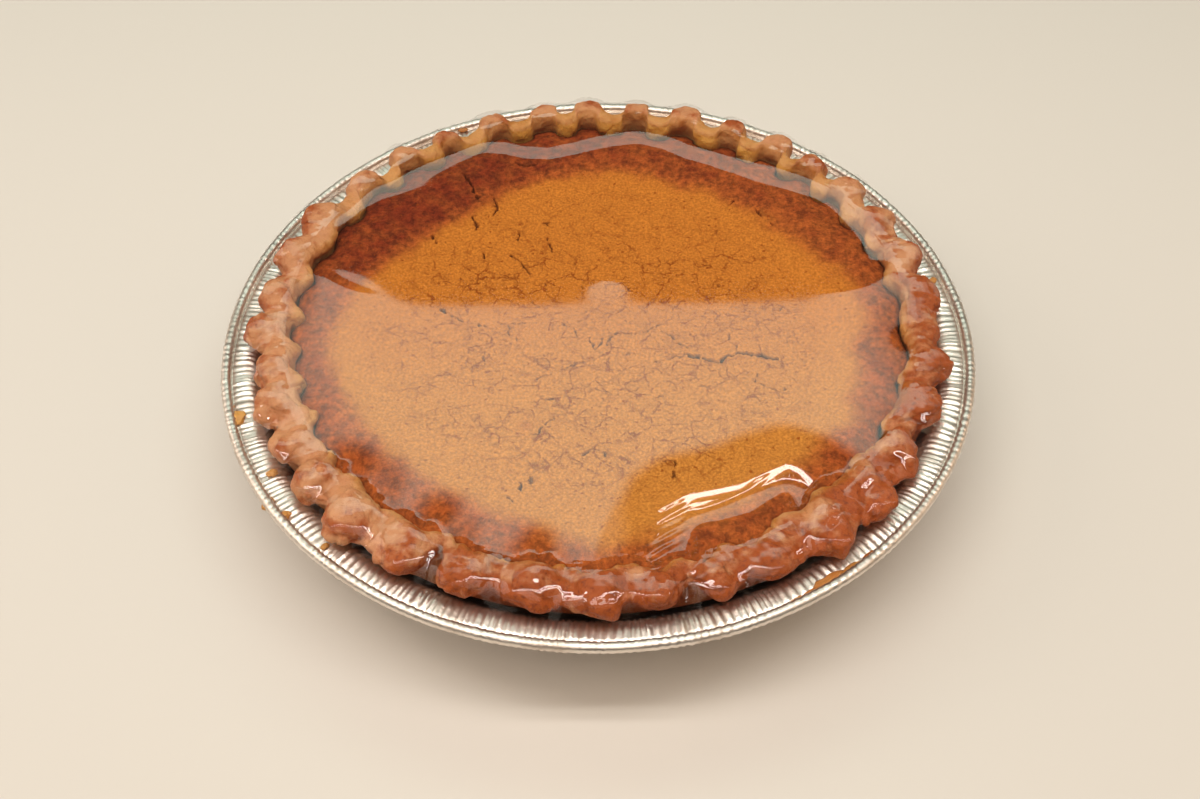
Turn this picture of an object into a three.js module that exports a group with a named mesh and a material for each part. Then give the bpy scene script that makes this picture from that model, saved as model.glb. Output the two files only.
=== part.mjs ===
// A bean pie in the foil tin it was baked in, wrapped in clear film: a crimped crust shell, the
// custard filling that fills it, the fluted tin round it, and the skin of film stretched over it.
// Millimetres, +Z up. The origin is on the table, under the middle of the tin.
import * as THREE from "three";

// ---- Driving dimensions -------------------------------------------------------------------

const TAU = Math.PI * 2;
const GAP = 0.3; // air between two pieces that touch on the real pie

const TIN = {
  baseR: 91, // flat round floor
  wallTopR: 111.5, // inside of the tin where the wall turns out into the flange
  wallTopZ: 31.2,
  flangeR: 118.6, // foot of the rolled bead
  flangeRise: 1.2, // the flange climbs this much on its way out
  rimR: 122, // outermost point of the rolled bead
  beadR: 1.5, // radius of the rolled bead
  foil: 0.6, // wall thickness
  footFillet: 3, // the floor rolls up into the wall over this much
  flutes: 96, // pressed pleats round the wall and flange
  pleat: 0.42, // how far a pleat moves in and out
};

const CRUST = {
  shell: 3.6, // thickness of the crust's floor and wall
  footR: 88.8, // edge of the crust's floor
  wallTopR: 108.4, // outside of the crust where it leaves the tin's wall
  wallTopZ: 30.2,
  overhangZ: 34.7, // underside of the rope where it hangs over the flange
  lipZ: 35.4, // where the rope's inner face meets the filling
  crown: [[0.2, 1.1], [0.5, 0], [0.84, 1.7]], // the rope's round top: share of the way in, drop
};

// The crimped rope's section: its inner and outer edge halfway between crest and valley, how far
// each moves in and out along a crimp, its top at a crest, and how much lower a valley is.
const BACK_ROPE = { inR: 101, outR: 108.3, inSway: 2.7, outSway: 2.7, crestZ: 44.6, drop: 4.8 };
const FRONT_ROPE = { inR: 99, outR: 111.6, inSway: 1.5, outSway: 2.1, crestZ: 43.7, drop: 3.2 };

// Where the rope strays from its even ring: the direction, how wide a stretch strays, and how far
// its outer and inner edges move outwards there. The narrow ones are bites and a split.
const STRAYS = [
  { degrees: 192, halfWidth: 4, outer: -4, inner: 0 },
  { degrees: 204, halfWidth: 22, outer: -0.8, inner: -1.7 },
  { degrees: 213.5, halfWidth: 2.5, outer: -1.8, inner: 0 },
  { degrees: 235, halfWidth: 12, outer: 2, inner: 0 },
  { degrees: 244.5, halfWidth: 1.6, outer: -8, inner: 0 },
  { degrees: 283.5, halfWidth: 2.5, outer: -3, inner: 0 },
  { degrees: 312, halfWidth: 14, outer: 2.2, inner: -2.2 },
  { degrees: 330.5, halfWidth: 4, outer: -4.4, inner: 0 },
  { degrees: 350.5, halfWidth: 2.5, outer: -2.4, inner: 0 },
];

// Where the crimps' crests stand round the rim, in degrees from +X, counterclockwise: close and
// even at the back, wider and lumpier at the front.
const CREST_DEGREES = [
  4, 14, 24, 33, 42, 51, 61, 71.5, 81.5, 92, 101, 111.5, 122, 132.5, 142, 154, 165, 174,
  184, 193, 202, 211, 220, 229, 239, 250, 260, 270, 279, 287, 296, 306, 316, 326, 337, 347,
];
const STEPS_PER_CRIMP = 8; // facets along one crimp
const COARSE = 4; // one facet on a plain wall for this many along the rope

const FILLING = {
  centreZ: 34.0, // the sunken middle
  swellZ: 37.6, // the puffed ring beside the crust
  flatR: 62, // the middle is flat out to here
  swellR: 91, // crown of the puffed ring
  edgeDrop: 1.7, // the ring rounds down to the crust by this much
  depthZ: 5.4, // underside, on the crust's floor
  clear: 1.1, // stands off the crust's inner wall
  ripple: 0.35, // height of the surface's soft unevenness
  edgeShares: [0.985, 0.95], // the top's fine rings, as shares of its radius
  innerShares: [0.9, 0.84, 0.77, 0.68, 0.56, 0.42, 0.26, 0.12], // and its coarser ones
};

const FILM = {
  skin: 0.4, // thickness
  lift: 0.45, // stands off the crust
  beadLift: 0.8, // stands off the bead: its straight facets pass inside its corners
  sag: 0.9, // the taut sheet dips this much in the middle
  flatRings: [45, 88, 101], // the sheet's rings inside the crests, each sagging less
  shoulderR: 112.8, // it turns down to the bead no further in than this
  shoulderDrop: 1.1, // just past the crests' tops, and this much lower
  dip: 0.8, // it sinks this much between two crests
  tuck: 2.6, // it turns under the bead and grips this far inwards
};

// ---- Unevenness ---------------------------------------------------------------------------

// The same small differences between the crimps every time: a counter-based random number.
function chance(index, stream) {
  const x = Math.sin(index * 127.1 + stream * 311.7) * 43758.5453;
  return 2 * (x - Math.floor(x)) - 1;
}

const crests = CREST_DEGREES.map((degrees, i) => ({
  angle: (degrees * Math.PI) / 180,
  lift: 0.7 * chance(i, 1),
  reach: 0.8 * chance(i, 2),
}));

// 1 at the back of the rim, where the rope is slim and regular, and 0 round the sides and front.
function backness(angle) {
  return THREE.MathUtils.smoothstep(Math.sin(angle), 0.3, 0.75);
}

// How far the rope's outer or inner edge strays outwards at an angle.
function stray(angle, edge) {
  return STRAYS.reduce((sum, place) => {
    const away = Math.abs(((angle * 360) / TAU - place.degrees + 540) % 360 - 180);
    return sum + place[edge] * Math.exp(-((away / place.halfWidth) ** 2));
  }, 0);
}

// Stations round the rim, eight to a crimp: each with its angle, its place t on the way from one
// crest (0) through the valley (0.5) to the next, and the crimp's own lift and reach.
function rimStations() {
  const stations = [];
  crests.forEach((crest, i) => {
    const next = crests[(i + 1) % crests.length];
    const span = (next.angle - crest.angle + TAU) % TAU;
    for (let k = 0; k < STEPS_PER_CRIMP; k++) {
      const t = k / STEPS_PER_CRIMP;
      const nearness = 0.5 + 0.5 * Math.cos(Math.PI * t);
      stations.push({
        angle: crest.angle + span * t,
        t,
        lift: THREE.MathUtils.lerp(next.lift, crest.lift, nearness),
        reach: THREE.MathUtils.lerp(next.reach, crest.reach, nearness),
      });
    }
  });
  return stations;
}

const stations = rimStations();

// ---- Surfaces from rings ------------------------------------------------------------------

// A point at an angle and radius round the axis.
function polar(angle, r, z) {
  return new THREE.Vector3(r * Math.cos(angle), r * Math.sin(angle), z);
}

// A ring of one point for each station or angle; radius and height may be numbers or functions.
function ring(places, radius, height) {
  return places.map((place) => {
    const angle = place.angle ?? place;
    const r = typeof radius === "function" ? radius(place) : radius;
    const z = typeof height === "function" ? height(place, r) : height;
    return polar(angle, r, z);
  });
}

// Evenly spaced angles.
function angles(count) {
  return Array.from({ length: count }, (_, i) => (TAU * i) / count);
}

// Every COARSE-th place.
function coarse(places) {
  return places.filter((_, i) => i % COARSE === 0);
}

// Joins rings, from a first pole to a last pole, into one closed surface. Rings run
// counterclockwise; a ring may have a whole number of times as many points as its neighbour.
function closedSurface(firstPole, rings, lastPole) {
  const all = [[firstPole], ...rings, [lastPole]];
  const positions = [];
  const triangle = (a, b, c) => positions.push(...a, ...b, ...c);
  for (let i = 0; i + 1 < all.length; i++) {
    const lower = all[i];
    const upper = all[i + 1];
    const steps = Math.max(lower.length, upper.length);
    for (let j = 0; j < steps; j++) {
      const a0 = lower[Math.floor((j * lower.length) / steps)];
      const a1 = lower[Math.floor(((j + 1) * lower.length) / steps) % lower.length];
      const b0 = upper[Math.floor((j * upper.length) / steps)];
      const b1 = upper[Math.floor(((j + 1) * upper.length) / steps) % upper.length];
      if (a0 !== a1) triangle(a0, a1, b0);
      if (b0 !== b1) triangle(a1, b1, b0);
    }
  }
  const geometry = new THREE.BufferGeometry();
  geometry.setAttribute("position", new THREE.Float32BufferAttribute(positions, 3));
  geometry.computeVertexNormals();
  return geometry;
}

// ---- Foil tin -----------------------------------------------------------------------------

// A pleated foil tin: flat floor, sloping fluted wall, fluted flange and a rolled bead.
function tinGeometry() {
  const places = angles(TIN.flutes * 2).map((angle, i) => ({ angle, side: i % 2 ? 1 : -1 }));
  const flangeZ = TIN.wallTopZ + TIN.flangeRise;
  const beadZ = flangeZ + TIN.beadR * 0.6;
  const beadMiddleR = TIN.rimR - TIN.beadR;
  const pleated = (r, share = 1) => (place) => r + place.side * TIN.pleat * share;
  const lifted = (z, share = 1) => (place) => z + place.side * TIN.pleat * share;
  const wallR = TIN.baseR + TIN.footFillet;
  const outside = [
    ring(coarse(places), TIN.baseR, 0),
    ring(places, pleated(wallR, 0.7), TIN.footFillet),
    ring(places, pleated(TIN.wallTopR + TIN.foil), lifted(TIN.wallTopZ - TIN.foil, 0.5)),
    ring(places, TIN.flangeR + TIN.foil, flangeZ - TIN.foil),
    ring(places, beadMiddleR, beadZ - TIN.beadR),
    ring(places, TIN.rimR, beadZ),
    ring(places, beadMiddleR, beadZ + TIN.beadR),
  ];
  const inside = [
    ring(places, TIN.flangeR, flangeZ),
    ring(places, pleated(TIN.wallTopR), lifted(TIN.wallTopZ)),
    ring(places, pleated(wallR - TIN.foil, 0.7), TIN.footFillet + TIN.foil),
    ring(coarse(places), TIN.baseR - TIN.foil, TIN.foil),
  ];
  return closedSurface(polar(0, 0, 0), [...outside, ...inside], polar(0, 0, TIN.foil));
}

// ---- Crust --------------------------------------------------------------------------------

// The rope's section at one station: its inner and outer edge and its top. At the back it waves
// evenly, and elsewhere it is a row of round lumps with a crease between them.
function rope({ angle, t, lift, reach }) {
  const back = backness(angle);
  const mix = (key) => THREE.MathUtils.lerp(FRONT_ROPE[key], BACK_ROPE[key], back);
  const lump = 2 * Math.abs(Math.cos(Math.PI * t)) - 1;
  const wave = THREE.MathUtils.lerp(lump, Math.cos(TAU * t), 0.4 + 0.6 * back);
  return {
    inner: mix("inR") + mix("inSway") * wave + stray(angle, "inner"),
    outer: mix("outR") + mix("outSway") * wave + reach + stray(angle, "outer"),
    top: mix("crestZ") + lift - mix("drop") * (0.5 - 0.5 * wave),
  };
}

// The radius of the crust's inner wall, which the filling touches.
function innerWallR(station) {
  return rope(station).inner + 0.9;
}

// The crust: a shell with a floor and wall under the filling, and a crimped rope round its top.
function crustGeometry() {
  const floorZ = TIN.foil + GAP + 0.1;
  const section = (inward, height) => ring(
    stations,
    (s) => THREE.MathUtils.lerp(rope(s).outer, rope(s).inner, inward),
    (s) => height(rope(s)),
  );
  const rings = [
    ring(coarse(stations), CRUST.footR, floorZ),
    ring(stations, CRUST.wallTopR, CRUST.wallTopZ),
    section(0.05, () => CRUST.overhangZ),
    section(0, ({ top }) => THREE.MathUtils.lerp(CRUST.overhangZ, top, 0.5)),
    ...CRUST.crown.map(([inward, drop]) => section(inward, ({ top }) => top - drop)),
    section(1, ({ top }) => THREE.MathUtils.lerp(CRUST.lipZ, top, 0.3)),
    ring(stations, innerWallR, CRUST.lipZ - 2),
    ring(coarse(stations), CRUST.footR - CRUST.shell, floorZ + CRUST.shell),
  ];
  return closedSurface(polar(0, 0, floorZ), rings, polar(0, 0, floorZ + CRUST.shell));
}

// ---- Filling ------------------------------------------------------------------------------

// The custard's top: a sunken flat middle, a puffed ring, and a rounded edge at the crust.
function fillingTop(angle, r, edgeR) {
  const rise = THREE.MathUtils.smoothstep(r, FILLING.flatR, FILLING.swellR);
  const fall = THREE.MathUtils.smoothstep(r, FILLING.swellR, edgeR);
  const soft = Math.sin(r * 0.11 + 2 * Math.sin(angle)) * Math.cos(3 * angle + r * 0.05);
  const swell = (FILLING.swellZ - FILLING.centreZ) * rise;
  return FILLING.centreZ + swell - FILLING.edgeDrop * fall * fall + FILLING.ripple * soft;
}

function fillingGeometry() {
  const rimPlaces = stations.filter((_, i) => i % 2 === 0);
  const innerPlaces = rimPlaces.filter((_, i) => i % 2 === 0);
  const edgeR = (place) => innerWallR(place) - FILLING.clear;
  const footR = CRUST.footR - CRUST.shell - FILLING.clear - 1.5;
  const underEdge = (place) => edgeR(place) - 2.2;
  const topRing = (places, share) => ring(
    places,
    (place) => edgeR(place) * share,
    (place, r) => fillingTop(place.angle, r, edgeR(place)),
  );
  const rings = [
    ring(coarse(rimPlaces), footR, FILLING.depthZ),
    ring(rimPlaces, underEdge, CRUST.lipZ - 4),
    ring(rimPlaces, edgeR, CRUST.lipZ - 1.6),
    ...FILLING.edgeShares.map((share) => topRing(rimPlaces, share)),
    ...FILLING.innerShares.map((share) => topRing(innerPlaces, share)),
  ];
  const bottom = polar(0, 0, FILLING.depthZ);
  return closedSurface(bottom, rings, polar(0, 0, FILLING.centreZ));
}

// ---- Film ---------------------------------------------------------------------------------

// The film: a taut skin from crest to crest over the filling, down to the bead and under it.
function filmGeometry() {
  const places = stations.filter((_, i) => i % COARSE === 0);
  const crest = (place) => rope({ ...place, t: 0 });
  const top = (place) => crest(place).top + FILM.lift;
  const dip = (place) => FILM.dip * (0.5 - 0.5 * Math.cos(TAU * place.t));
  const sag = (r) => FILM.sag * (1 - (r / FILM.flatRings.at(-1)) ** 2);
  const ridgeR = (place) => THREE.MathUtils.lerp(crest(place).inner, crest(place).outer, 0.6);
  const shoulderR = (place) => Math.max(crest(place).outer, FILM.shoulderR) - FILM.shoulderDrop;
  const beadZ = TIN.wallTopZ + TIN.flangeRise + TIN.beadR * 0.6;
  const beadMiddleR = TIN.rimR - TIN.beadR;
  const levels = (offset) => [
    ...FILM.flatRings.map((r) => [r, (p) => top(p) - sag(r) + offset]),
    [ridgeR, (p) => top(p) - dip(p) + offset],
    [(p) => shoulderR(p) + offset, (p) => top(p) - FILM.shoulderDrop - dip(p) + offset],
    [beadMiddleR, beadZ + TIN.beadR + FILM.beadLift + offset],
    [TIN.rimR + FILM.beadLift + offset, beadZ],
    [beadMiddleR, beadZ - TIN.beadR - FILM.beadLift - offset],
  ];
  const skin = (offset) => levels(offset).map(([radius, height]) => ring(places, radius, height));
  const averageTop = places.reduce((sum, p) => sum + top(p), 0) / places.length;
  const middle = averageTop - FILM.sag;
  const hemR = TIN.rimR - TIN.beadR - FILM.tuck;
  const hemZ = beadZ - TIN.beadR - FILM.beadLift - FILM.skin / 2;
  const rings = [
    ...skin(0),
    ring(places, hemR, hemZ),
    ...skin(FILM.skin).reverse(),
  ];
  return closedSurface(polar(0, 0, middle), rings, polar(0, 0, middle + FILM.skin));
}

// ---- Assembly -----------------------------------------------------------------------------

// One named piece with its own finish.
function piece(name, geometry, finish) {
  const mesh = new THREE.Mesh(geometry, new THREE.MeshStandardMaterial(finish));
  mesh.name = name;
  return mesh;
}

const group = new THREE.Group();
group.add(
  piece("tin", tinGeometry(), { color: 0xd6d2cc, metalness: 1, roughness: 0.3 }),
  piece("crust", crustGeometry(), { color: 0xc98a4a, roughness: 0.7 }),
  piece("filling", fillingGeometry(), { color: 0xb8692b, roughness: 0.85 }),
  piece("film", filmGeometry(), {
    color: 0xffffff,
    roughness: 0.05,
    transparent: true,
    opacity: 0.15,
  }),
);

export default group;
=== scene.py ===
"""A bean pie in the fluted foil tin it was baked in, wrapped in clear film.

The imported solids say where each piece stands. Every piece is modelled here again in full detail:
the pleated foil, the hand-crimped crust, the cracked custard and the taut sheet of film.
Lengths in the classes are millimetres; meshes are written in metres.
"""
import itertools
import logging
import math
from contextlib import contextmanager
from dataclasses import dataclass
from enum import Enum
from functools import partial
from typing import Callable, Iterator, NamedTuple

import bmesh
import bpy
import numpy as np
from mathutils import Matrix, Vector


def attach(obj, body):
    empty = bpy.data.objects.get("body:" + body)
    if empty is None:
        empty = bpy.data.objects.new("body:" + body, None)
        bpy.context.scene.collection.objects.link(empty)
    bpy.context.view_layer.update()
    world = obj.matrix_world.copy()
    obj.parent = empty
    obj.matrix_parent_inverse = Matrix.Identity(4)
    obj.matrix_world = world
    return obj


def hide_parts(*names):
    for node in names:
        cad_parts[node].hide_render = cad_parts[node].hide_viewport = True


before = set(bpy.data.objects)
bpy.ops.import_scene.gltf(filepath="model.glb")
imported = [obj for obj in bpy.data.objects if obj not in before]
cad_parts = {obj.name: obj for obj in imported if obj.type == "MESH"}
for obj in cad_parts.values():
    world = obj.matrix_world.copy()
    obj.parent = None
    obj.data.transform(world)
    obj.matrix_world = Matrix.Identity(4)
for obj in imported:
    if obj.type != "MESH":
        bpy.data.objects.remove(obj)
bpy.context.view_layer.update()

log = logging.getLogger("bean_pie")

MM = 0.001
TAU = 2.0 * math.pi
Node = bpy.types.Node
Socket = bpy.types.NodeSocket
Tree = bpy.types.ShaderNodeTree
Adder = Callable[..., Node]  # adds one node to a tree
TIMES = {"operation": "MULTIPLY"}
TIMES_PLUS = {"operation": "MULTIPLY_ADD"}
COLOUR_MIX = {"data_type": "RGBA"}
SMOOTH = {"interpolation_type": "SMOOTHSTEP"}
SPAN_CUTS = 8  # a ring is spun in long spans, and each is cut into this many


# ---- Numbers ------------------------------------------------------------------------------


def linear(hex_colour: str) -> tuple[float, float, float, float]:
    """Turns an sRGB hex colour into linear light.

    Args:
        hex_colour: Six hex digits, such as "c97a33".

    Returns:
        Red, green, blue and alpha.
    """
    channels = [int(hex_colour[i : i + 2], 16) / 255.0 for i in (0, 2, 4)]
    light = [c / 12.92 if c <= 0.04045 else ((c + 0.055) / 1.055) ** 2.4 for c in channels]
    return (light[0], light[1], light[2], 1.0)


def smoothstep(value: np.ndarray, low: float, high: float) -> np.ndarray:
    """Rises smoothly from 0 at low to 1 at high.

    Args:
        value: The numbers to place between the two.
        low: Where the rise starts.
        high: Where it ends.

    Returns:
        A share from 0 to 1 for each number.
    """
    share = np.clip((value - low) / (high - low), 0.0, 1.0)
    return share * share * (3.0 - 2.0 * share)


def lerp(a: np.ndarray | float, b: np.ndarray | float, share: np.ndarray | float) -> np.ndarray:
    """Gives the number that lies a share of the way from a to b."""
    return a + (b - a) * share


def chance(index: np.ndarray, stream: float) -> np.ndarray:
    """Gives the solids' own repeatable random number, from -1 to 1, for each index."""
    x = np.sin(index * 127.1 + stream * 311.7) * 43758.5453
    return 2.0 * (x - np.floor(x)) - 1.0


class Unevenness:
    """Smooth seeded noise in space: the lumps that hands and an oven leave."""

    def __init__(self, seed: int, side: int = 28) -> None:
        """Fills a small lattice with numbers from -1 to 1.

        Args:
            seed: Fixes the numbers.
            side: Cells along each side before the pattern repeats.
        """
        self.side = side
        self.lattice = np.random.default_rng(seed).uniform(-1.0, 1.0, (side, side, side))

    def at(self, points: np.ndarray, cell: float) -> np.ndarray:
        """Reads the noise.

        Args:
            points: Places in millimetres, one row each.
            cell: Size of a lump in millimetres.

        Returns:
            A number from -1 to 1 for each place.
        """
        place = points / cell
        base = np.floor(place).astype(int)
        share = place - base
        share = share * share * (3.0 - 2.0 * share)
        total = np.zeros(len(points))
        for corner in itertools.product((0, 1), repeat=3):
            index = (base + corner) % self.side
            weight = np.prod(np.where(corner, share, 1.0 - share), axis=1)
            total += weight * self.lattice[index[:, 0], index[:, 1], index[:, 2]]
        return total

    def rough(self, points: np.ndarray, cell: float, octaves: int = 3) -> np.ndarray:
        """Adds up finer and finer lumps.

        Args:
            points: Places in millimetres, one row each.
            cell: Size of the largest lumps.
            octaves: How many sizes, each half of the one before.

        Returns:
            About -1 to 1 for each place.
        """
        return sum(self.at(points + 7.3 * k, cell / 2**k) / 2**k for k in range(octaves))


# ---- Meshes -------------------------------------------------------------------------------


def deselect_all() -> None:
    """Leaves edit mode and deselects every object."""
    if bpy.context.object and bpy.context.object.mode != "OBJECT":
        bpy.ops.object.mode_set(mode="OBJECT")
    bpy.ops.object.select_all(action="DESELECT")


def select_only(piece: bpy.types.Object) -> None:
    """Selects one piece, makes it the active one and leaves nothing else selected."""
    deselect_all()
    piece.select_set(True)
    bpy.context.view_layer.objects.active = piece


@contextmanager
def editing(piece: bpy.types.Object) -> Iterator[None]:
    """Holds one piece in edit mode, with nothing else selected."""
    select_only(piece)
    bpy.ops.object.mode_set(mode="EDIT")
    try:
        yield
    finally:
        bpy.ops.object.mode_set(mode="OBJECT")


def name_piece(name: str) -> bpy.types.Object:
    """Names the new active object and its mesh.

    Args:
        name: The piece's name.

    Returns:
        The object.
    """
    piece = bpy.context.active_object
    piece.name = name
    piece.data.name = name
    return piece


def read_points(piece: bpy.types.Object) -> np.ndarray:
    """Reads a piece's vertices in millimetres."""
    points = np.zeros(len(piece.data.vertices) * 3)
    piece.data.vertices.foreach_get("co", points)
    return points.reshape(-1, 3) / MM


def write_points(piece: bpy.types.Object, points: np.ndarray) -> None:
    """Moves a piece's vertices to places in millimetres."""
    piece.data.vertices.foreach_set("co", (points * MM).ravel())
    piece.data.update()


def read_normals(piece: bpy.types.Object) -> np.ndarray:
    """Reads the direction that a piece's surface faces at each vertex."""
    normals = np.zeros(len(piece.data.vertices) * 3)
    piece.data.vertex_normals.foreach_get("vector", normals)
    return normals.reshape(-1, 3)


def store(piece: bpy.types.Object, name: str, values: np.ndarray) -> None:
    """Keeps one number for each vertex, for a material to read.

    Args:
        piece: The piece.
        name: The attribute's name.
        values: One number for each vertex.
    """
    attribute = piece.data.attributes.get(name)
    attribute = attribute or piece.data.attributes.new(name, "FLOAT", "POINT")
    attribute.data.foreach_set("value", values.astype(np.float32))


def around(points: np.ndarray) -> tuple[np.ndarray, np.ndarray]:
    """Gives each point's direction round the upright axis and its distance from it."""
    return np.arctan2(points[:, 1], points[:, 0]), np.hypot(points[:, 0], points[:, 1])


def degrees_past(angle: np.ndarray, degrees: np.ndarray | float) -> np.ndarray:
    """Gives how many degrees each direction lies past another, from -180 to 180."""
    return (np.degrees(angle) - degrees + 540.0) % 360.0 - 180.0


def polar(angle: np.ndarray, radius: np.ndarray, height: np.ndarray) -> np.ndarray:
    """Gives points in space from angles, radii and heights.

    Args:
        angle: Directions round the upright axis.
        radius: Distances from it.
        height: Heights.

    Returns:
        One row for each point.
    """
    return np.stack([radius * np.cos(angle), radius * np.sin(angle), height], axis=1)


def distance_to(places: np.ndarray, a: np.ndarray, b: np.ndarray) -> np.ndarray:
    """Measures how far places lie from a straight line between two points.

    Args:
        places: x and y in millimetres, one row each.
        a: One end of the line.
        b: The other end.

    Returns:
        Millimetres for each place.
    """
    along = np.clip((places - a) @ (b - a) / ((b - a) @ (b - a)), 0.0, 1.0)
    return np.linalg.norm(places - a - along[:, None] * (b - a), axis=1)


def spin_section(name: str, section: np.ndarray, steps: int) -> bpy.types.Object:
    """Draws a section point by point, spins it round the axis and cuts the spans finer.

    Args:
        name: The piece's name.
        section: Radius and height of each point, in millimetres.
        steps: Points round the ring, a multiple of SPAN_CUTS.

    Returns:
        The ring, its seam and poles merged, its faces outwards.
    """
    deselect_all()
    bpy.ops.mesh.primitive_plane_add(size=1.0)
    piece = name_piece(name)
    with editing(piece):
        bpy.ops.mesh.select_all(action="SELECT")
        bpy.ops.mesh.merge(type="CENTER")
        first = (section[0, 0] * MM, 0.0, section[0, 1] * MM)
        bpy.ops.transform.translate(value=first)
        for step in np.diff(section, axis=0):
            move = {"value": (step[0] * MM, 0.0, step[1] * MM)}
            bpy.ops.mesh.extrude_region_move(TRANSFORM_OT_translate=move)
        bpy.ops.mesh.select_all(action="SELECT")
        bpy.ops.mesh.spin(
            steps=steps // SPAN_CUTS, angle=TAU, center=(0, 0, 0), axis=(0, 0, 1))
        bpy.ops.mesh.select_all(action="SELECT")
        bpy.ops.mesh.remove_doubles(threshold=0.004 * MM)
        bpy.ops.mesh.select_all(action="DESELECT")
        bpy.ops.mesh.select_mode(type="EDGE")
        shape = bmesh.from_edit_mesh(piece.data)
        for edge in shape.edges:
            a, b = (vertex.co for vertex in edge.verts)
            same_ring = abs(math.hypot(a.x, a.y) - math.hypot(b.x, b.y)) < 0.004 * MM
            edge.select = same_ring and abs(a.z - b.z) < 0.004 * MM
        bmesh.update_edit_mesh(piece.data)
        bpy.ops.mesh.subdivide(number_cuts=SPAN_CUTS - 1)
        bpy.ops.mesh.select_mode(type="VERT")
        bpy.ops.mesh.select_all(action="SELECT")
        bpy.ops.mesh.normals_make_consistent(inside=False)
    return piece


def places_on(piece: bpy.types.Object, section: np.ndarray) -> tuple[np.ndarray, np.ndarray]:
    """Finds each vertex's place on a spun ring.

    Args:
        piece: The ring, straight after it was spun.
        section: The section that was spun.

    Returns:
        Each vertex's row on the section, and its angle.
    """
    points = read_points(piece)
    angle, radius = around(points)
    away = np.abs(radius[:, None] - section[:, 0]) + np.abs(points[:, 2:3] - section[:, 1])
    return away.argmin(axis=1), angle


def thicken(piece: bpy.types.Object, thickness: float) -> None:
    """Gives a sheet its thickness in millimetres, on its outer side."""
    select_only(piece)
    sheet = piece.modifiers.new("sheet", "SOLIDIFY")
    sheet.thickness = thickness * MM
    sheet.offset = 1.0
    bpy.ops.object.modifier_apply(modifier=sheet.name)


def finish_piece(piece: bpy.types.Object, finish: "Finish", node: str) -> None:
    """Smooths and dresses a piece that stands for a solid.

    Args:
        piece: The piece.
        finish: Its surface.
        node: The solid it replaces.
    """
    select_only(piece)
    bpy.ops.object.shade_smooth()
    piece.data.materials.clear()
    piece.data.materials.append(finish.material())
    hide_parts(node)
    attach(piece, "root")


# ---- Finishes -----------------------------------------------------------------------------


def add_node(
    tree: Tree, kind: str, settings: dict | None = None, inputs: dict | None = None
) -> Node:
    """Adds one node with its settings and its links.

    Args:
        tree: The nodes to add it to.
        kind: The node's type.
        settings: The node's own properties by name.
        inputs: By the input's name or number, a value, an output, or a node, which stands for
            its first output in use.

    Returns:
        The new node.
    """
    node = tree.nodes.new("ShaderNode" + kind)
    for name, value in (settings or {}).items():
        setattr(node, name, value)
    by_key = dict(enumerate(node.inputs)) | {s.name: s for s in node.inputs if s.enabled}
    for key, value in (inputs or {}).items():
        if isinstance(value, Node):
            value = next(socket for socket in value.outputs if socket.enabled)
        if isinstance(value, Socket):
            tree.links.new(value, by_key[key])
        else:
            by_key[key].default_value = value
    return node


def tiles(size_mm: float) -> float:
    """Gives a pattern's scale from its size on the real thing."""
    return 1.0 / (size_mm * MM)


@dataclass(frozen=True)
class Finish:
    """A surface, named for what the real one is."""

    name: str

    def shader(self, add: Adder) -> Node:
        """Adds the nodes that draw the surface and gives their shader."""
        raise NotImplementedError

    def material(self) -> bpy.types.Material:
        """Makes the material.

        Returns:
            A material with this finish's nodes.
        """
        material = bpy.data.materials.new(self.name)
        material.use_nodes = True
        material.node_tree.nodes.clear()
        add = partial(add_node, material.node_tree)
        add("OutputMaterial", inputs={"Surface": self.shader(add)})
        return material


@dataclass(frozen=True)
class PressedFoil(Finish):
    """Aluminium foil, pressed and pleated: a soft bright metal with fine creases.

    Rolled foil keeps a satin face, and its creases break each reflection into short streaks.
    """

    name: str = "pressed_aluminium_foil"
    metal: str = "f0e6dc"
    dulled: str = "d6c8bb"  # grease and baked-on film in patches
    crease_mm: float = 1.6  # spacing of the fine creases
    patch_mm: float = 14.0

    def shader(self, add: Adder) -> Node:
        """Draws satin metal, creased, with duller patches.

        Args:
            add: Adds a node to the material.

        Returns:
            The metal's shader.
        """
        place = add("TexCoord").outputs["Object"]
        patch = add("TexNoise", inputs={
            "Vector": place, "Scale": tiles(self.patch_mm), "Detail": 3.0, "Roughness": 0.6})
        dull = add("MapRange", inputs={"Value": patch, "From Min": 0.48, "From Max": 0.72})
        colour = add("Mix", COLOUR_MIX, {
            "Factor": dull, "A": linear(self.metal), "B": linear(self.dulled)})
        crease = add("TexNoise", inputs={
            "Vector": place, "Scale": tiles(self.crease_mm), "Detail": 3.0, "Roughness": 0.65,
            "Distortion": 0.8})
        bump = add("Bump", inputs={"Height": crease, "Strength": 0.55, "Distance": 0.25 * MM})
        rough = add("MapRange", inputs={
            "Value": patch, "From Min": 0.3, "From Max": 0.7, "To Min": 0.33, "To Max": 0.46})
        metal = add("BsdfPrincipled", inputs={
            "Base Color": colour, "Metallic": 1.0, "Roughness": rough, "Normal": bump})
        return metal


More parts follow.
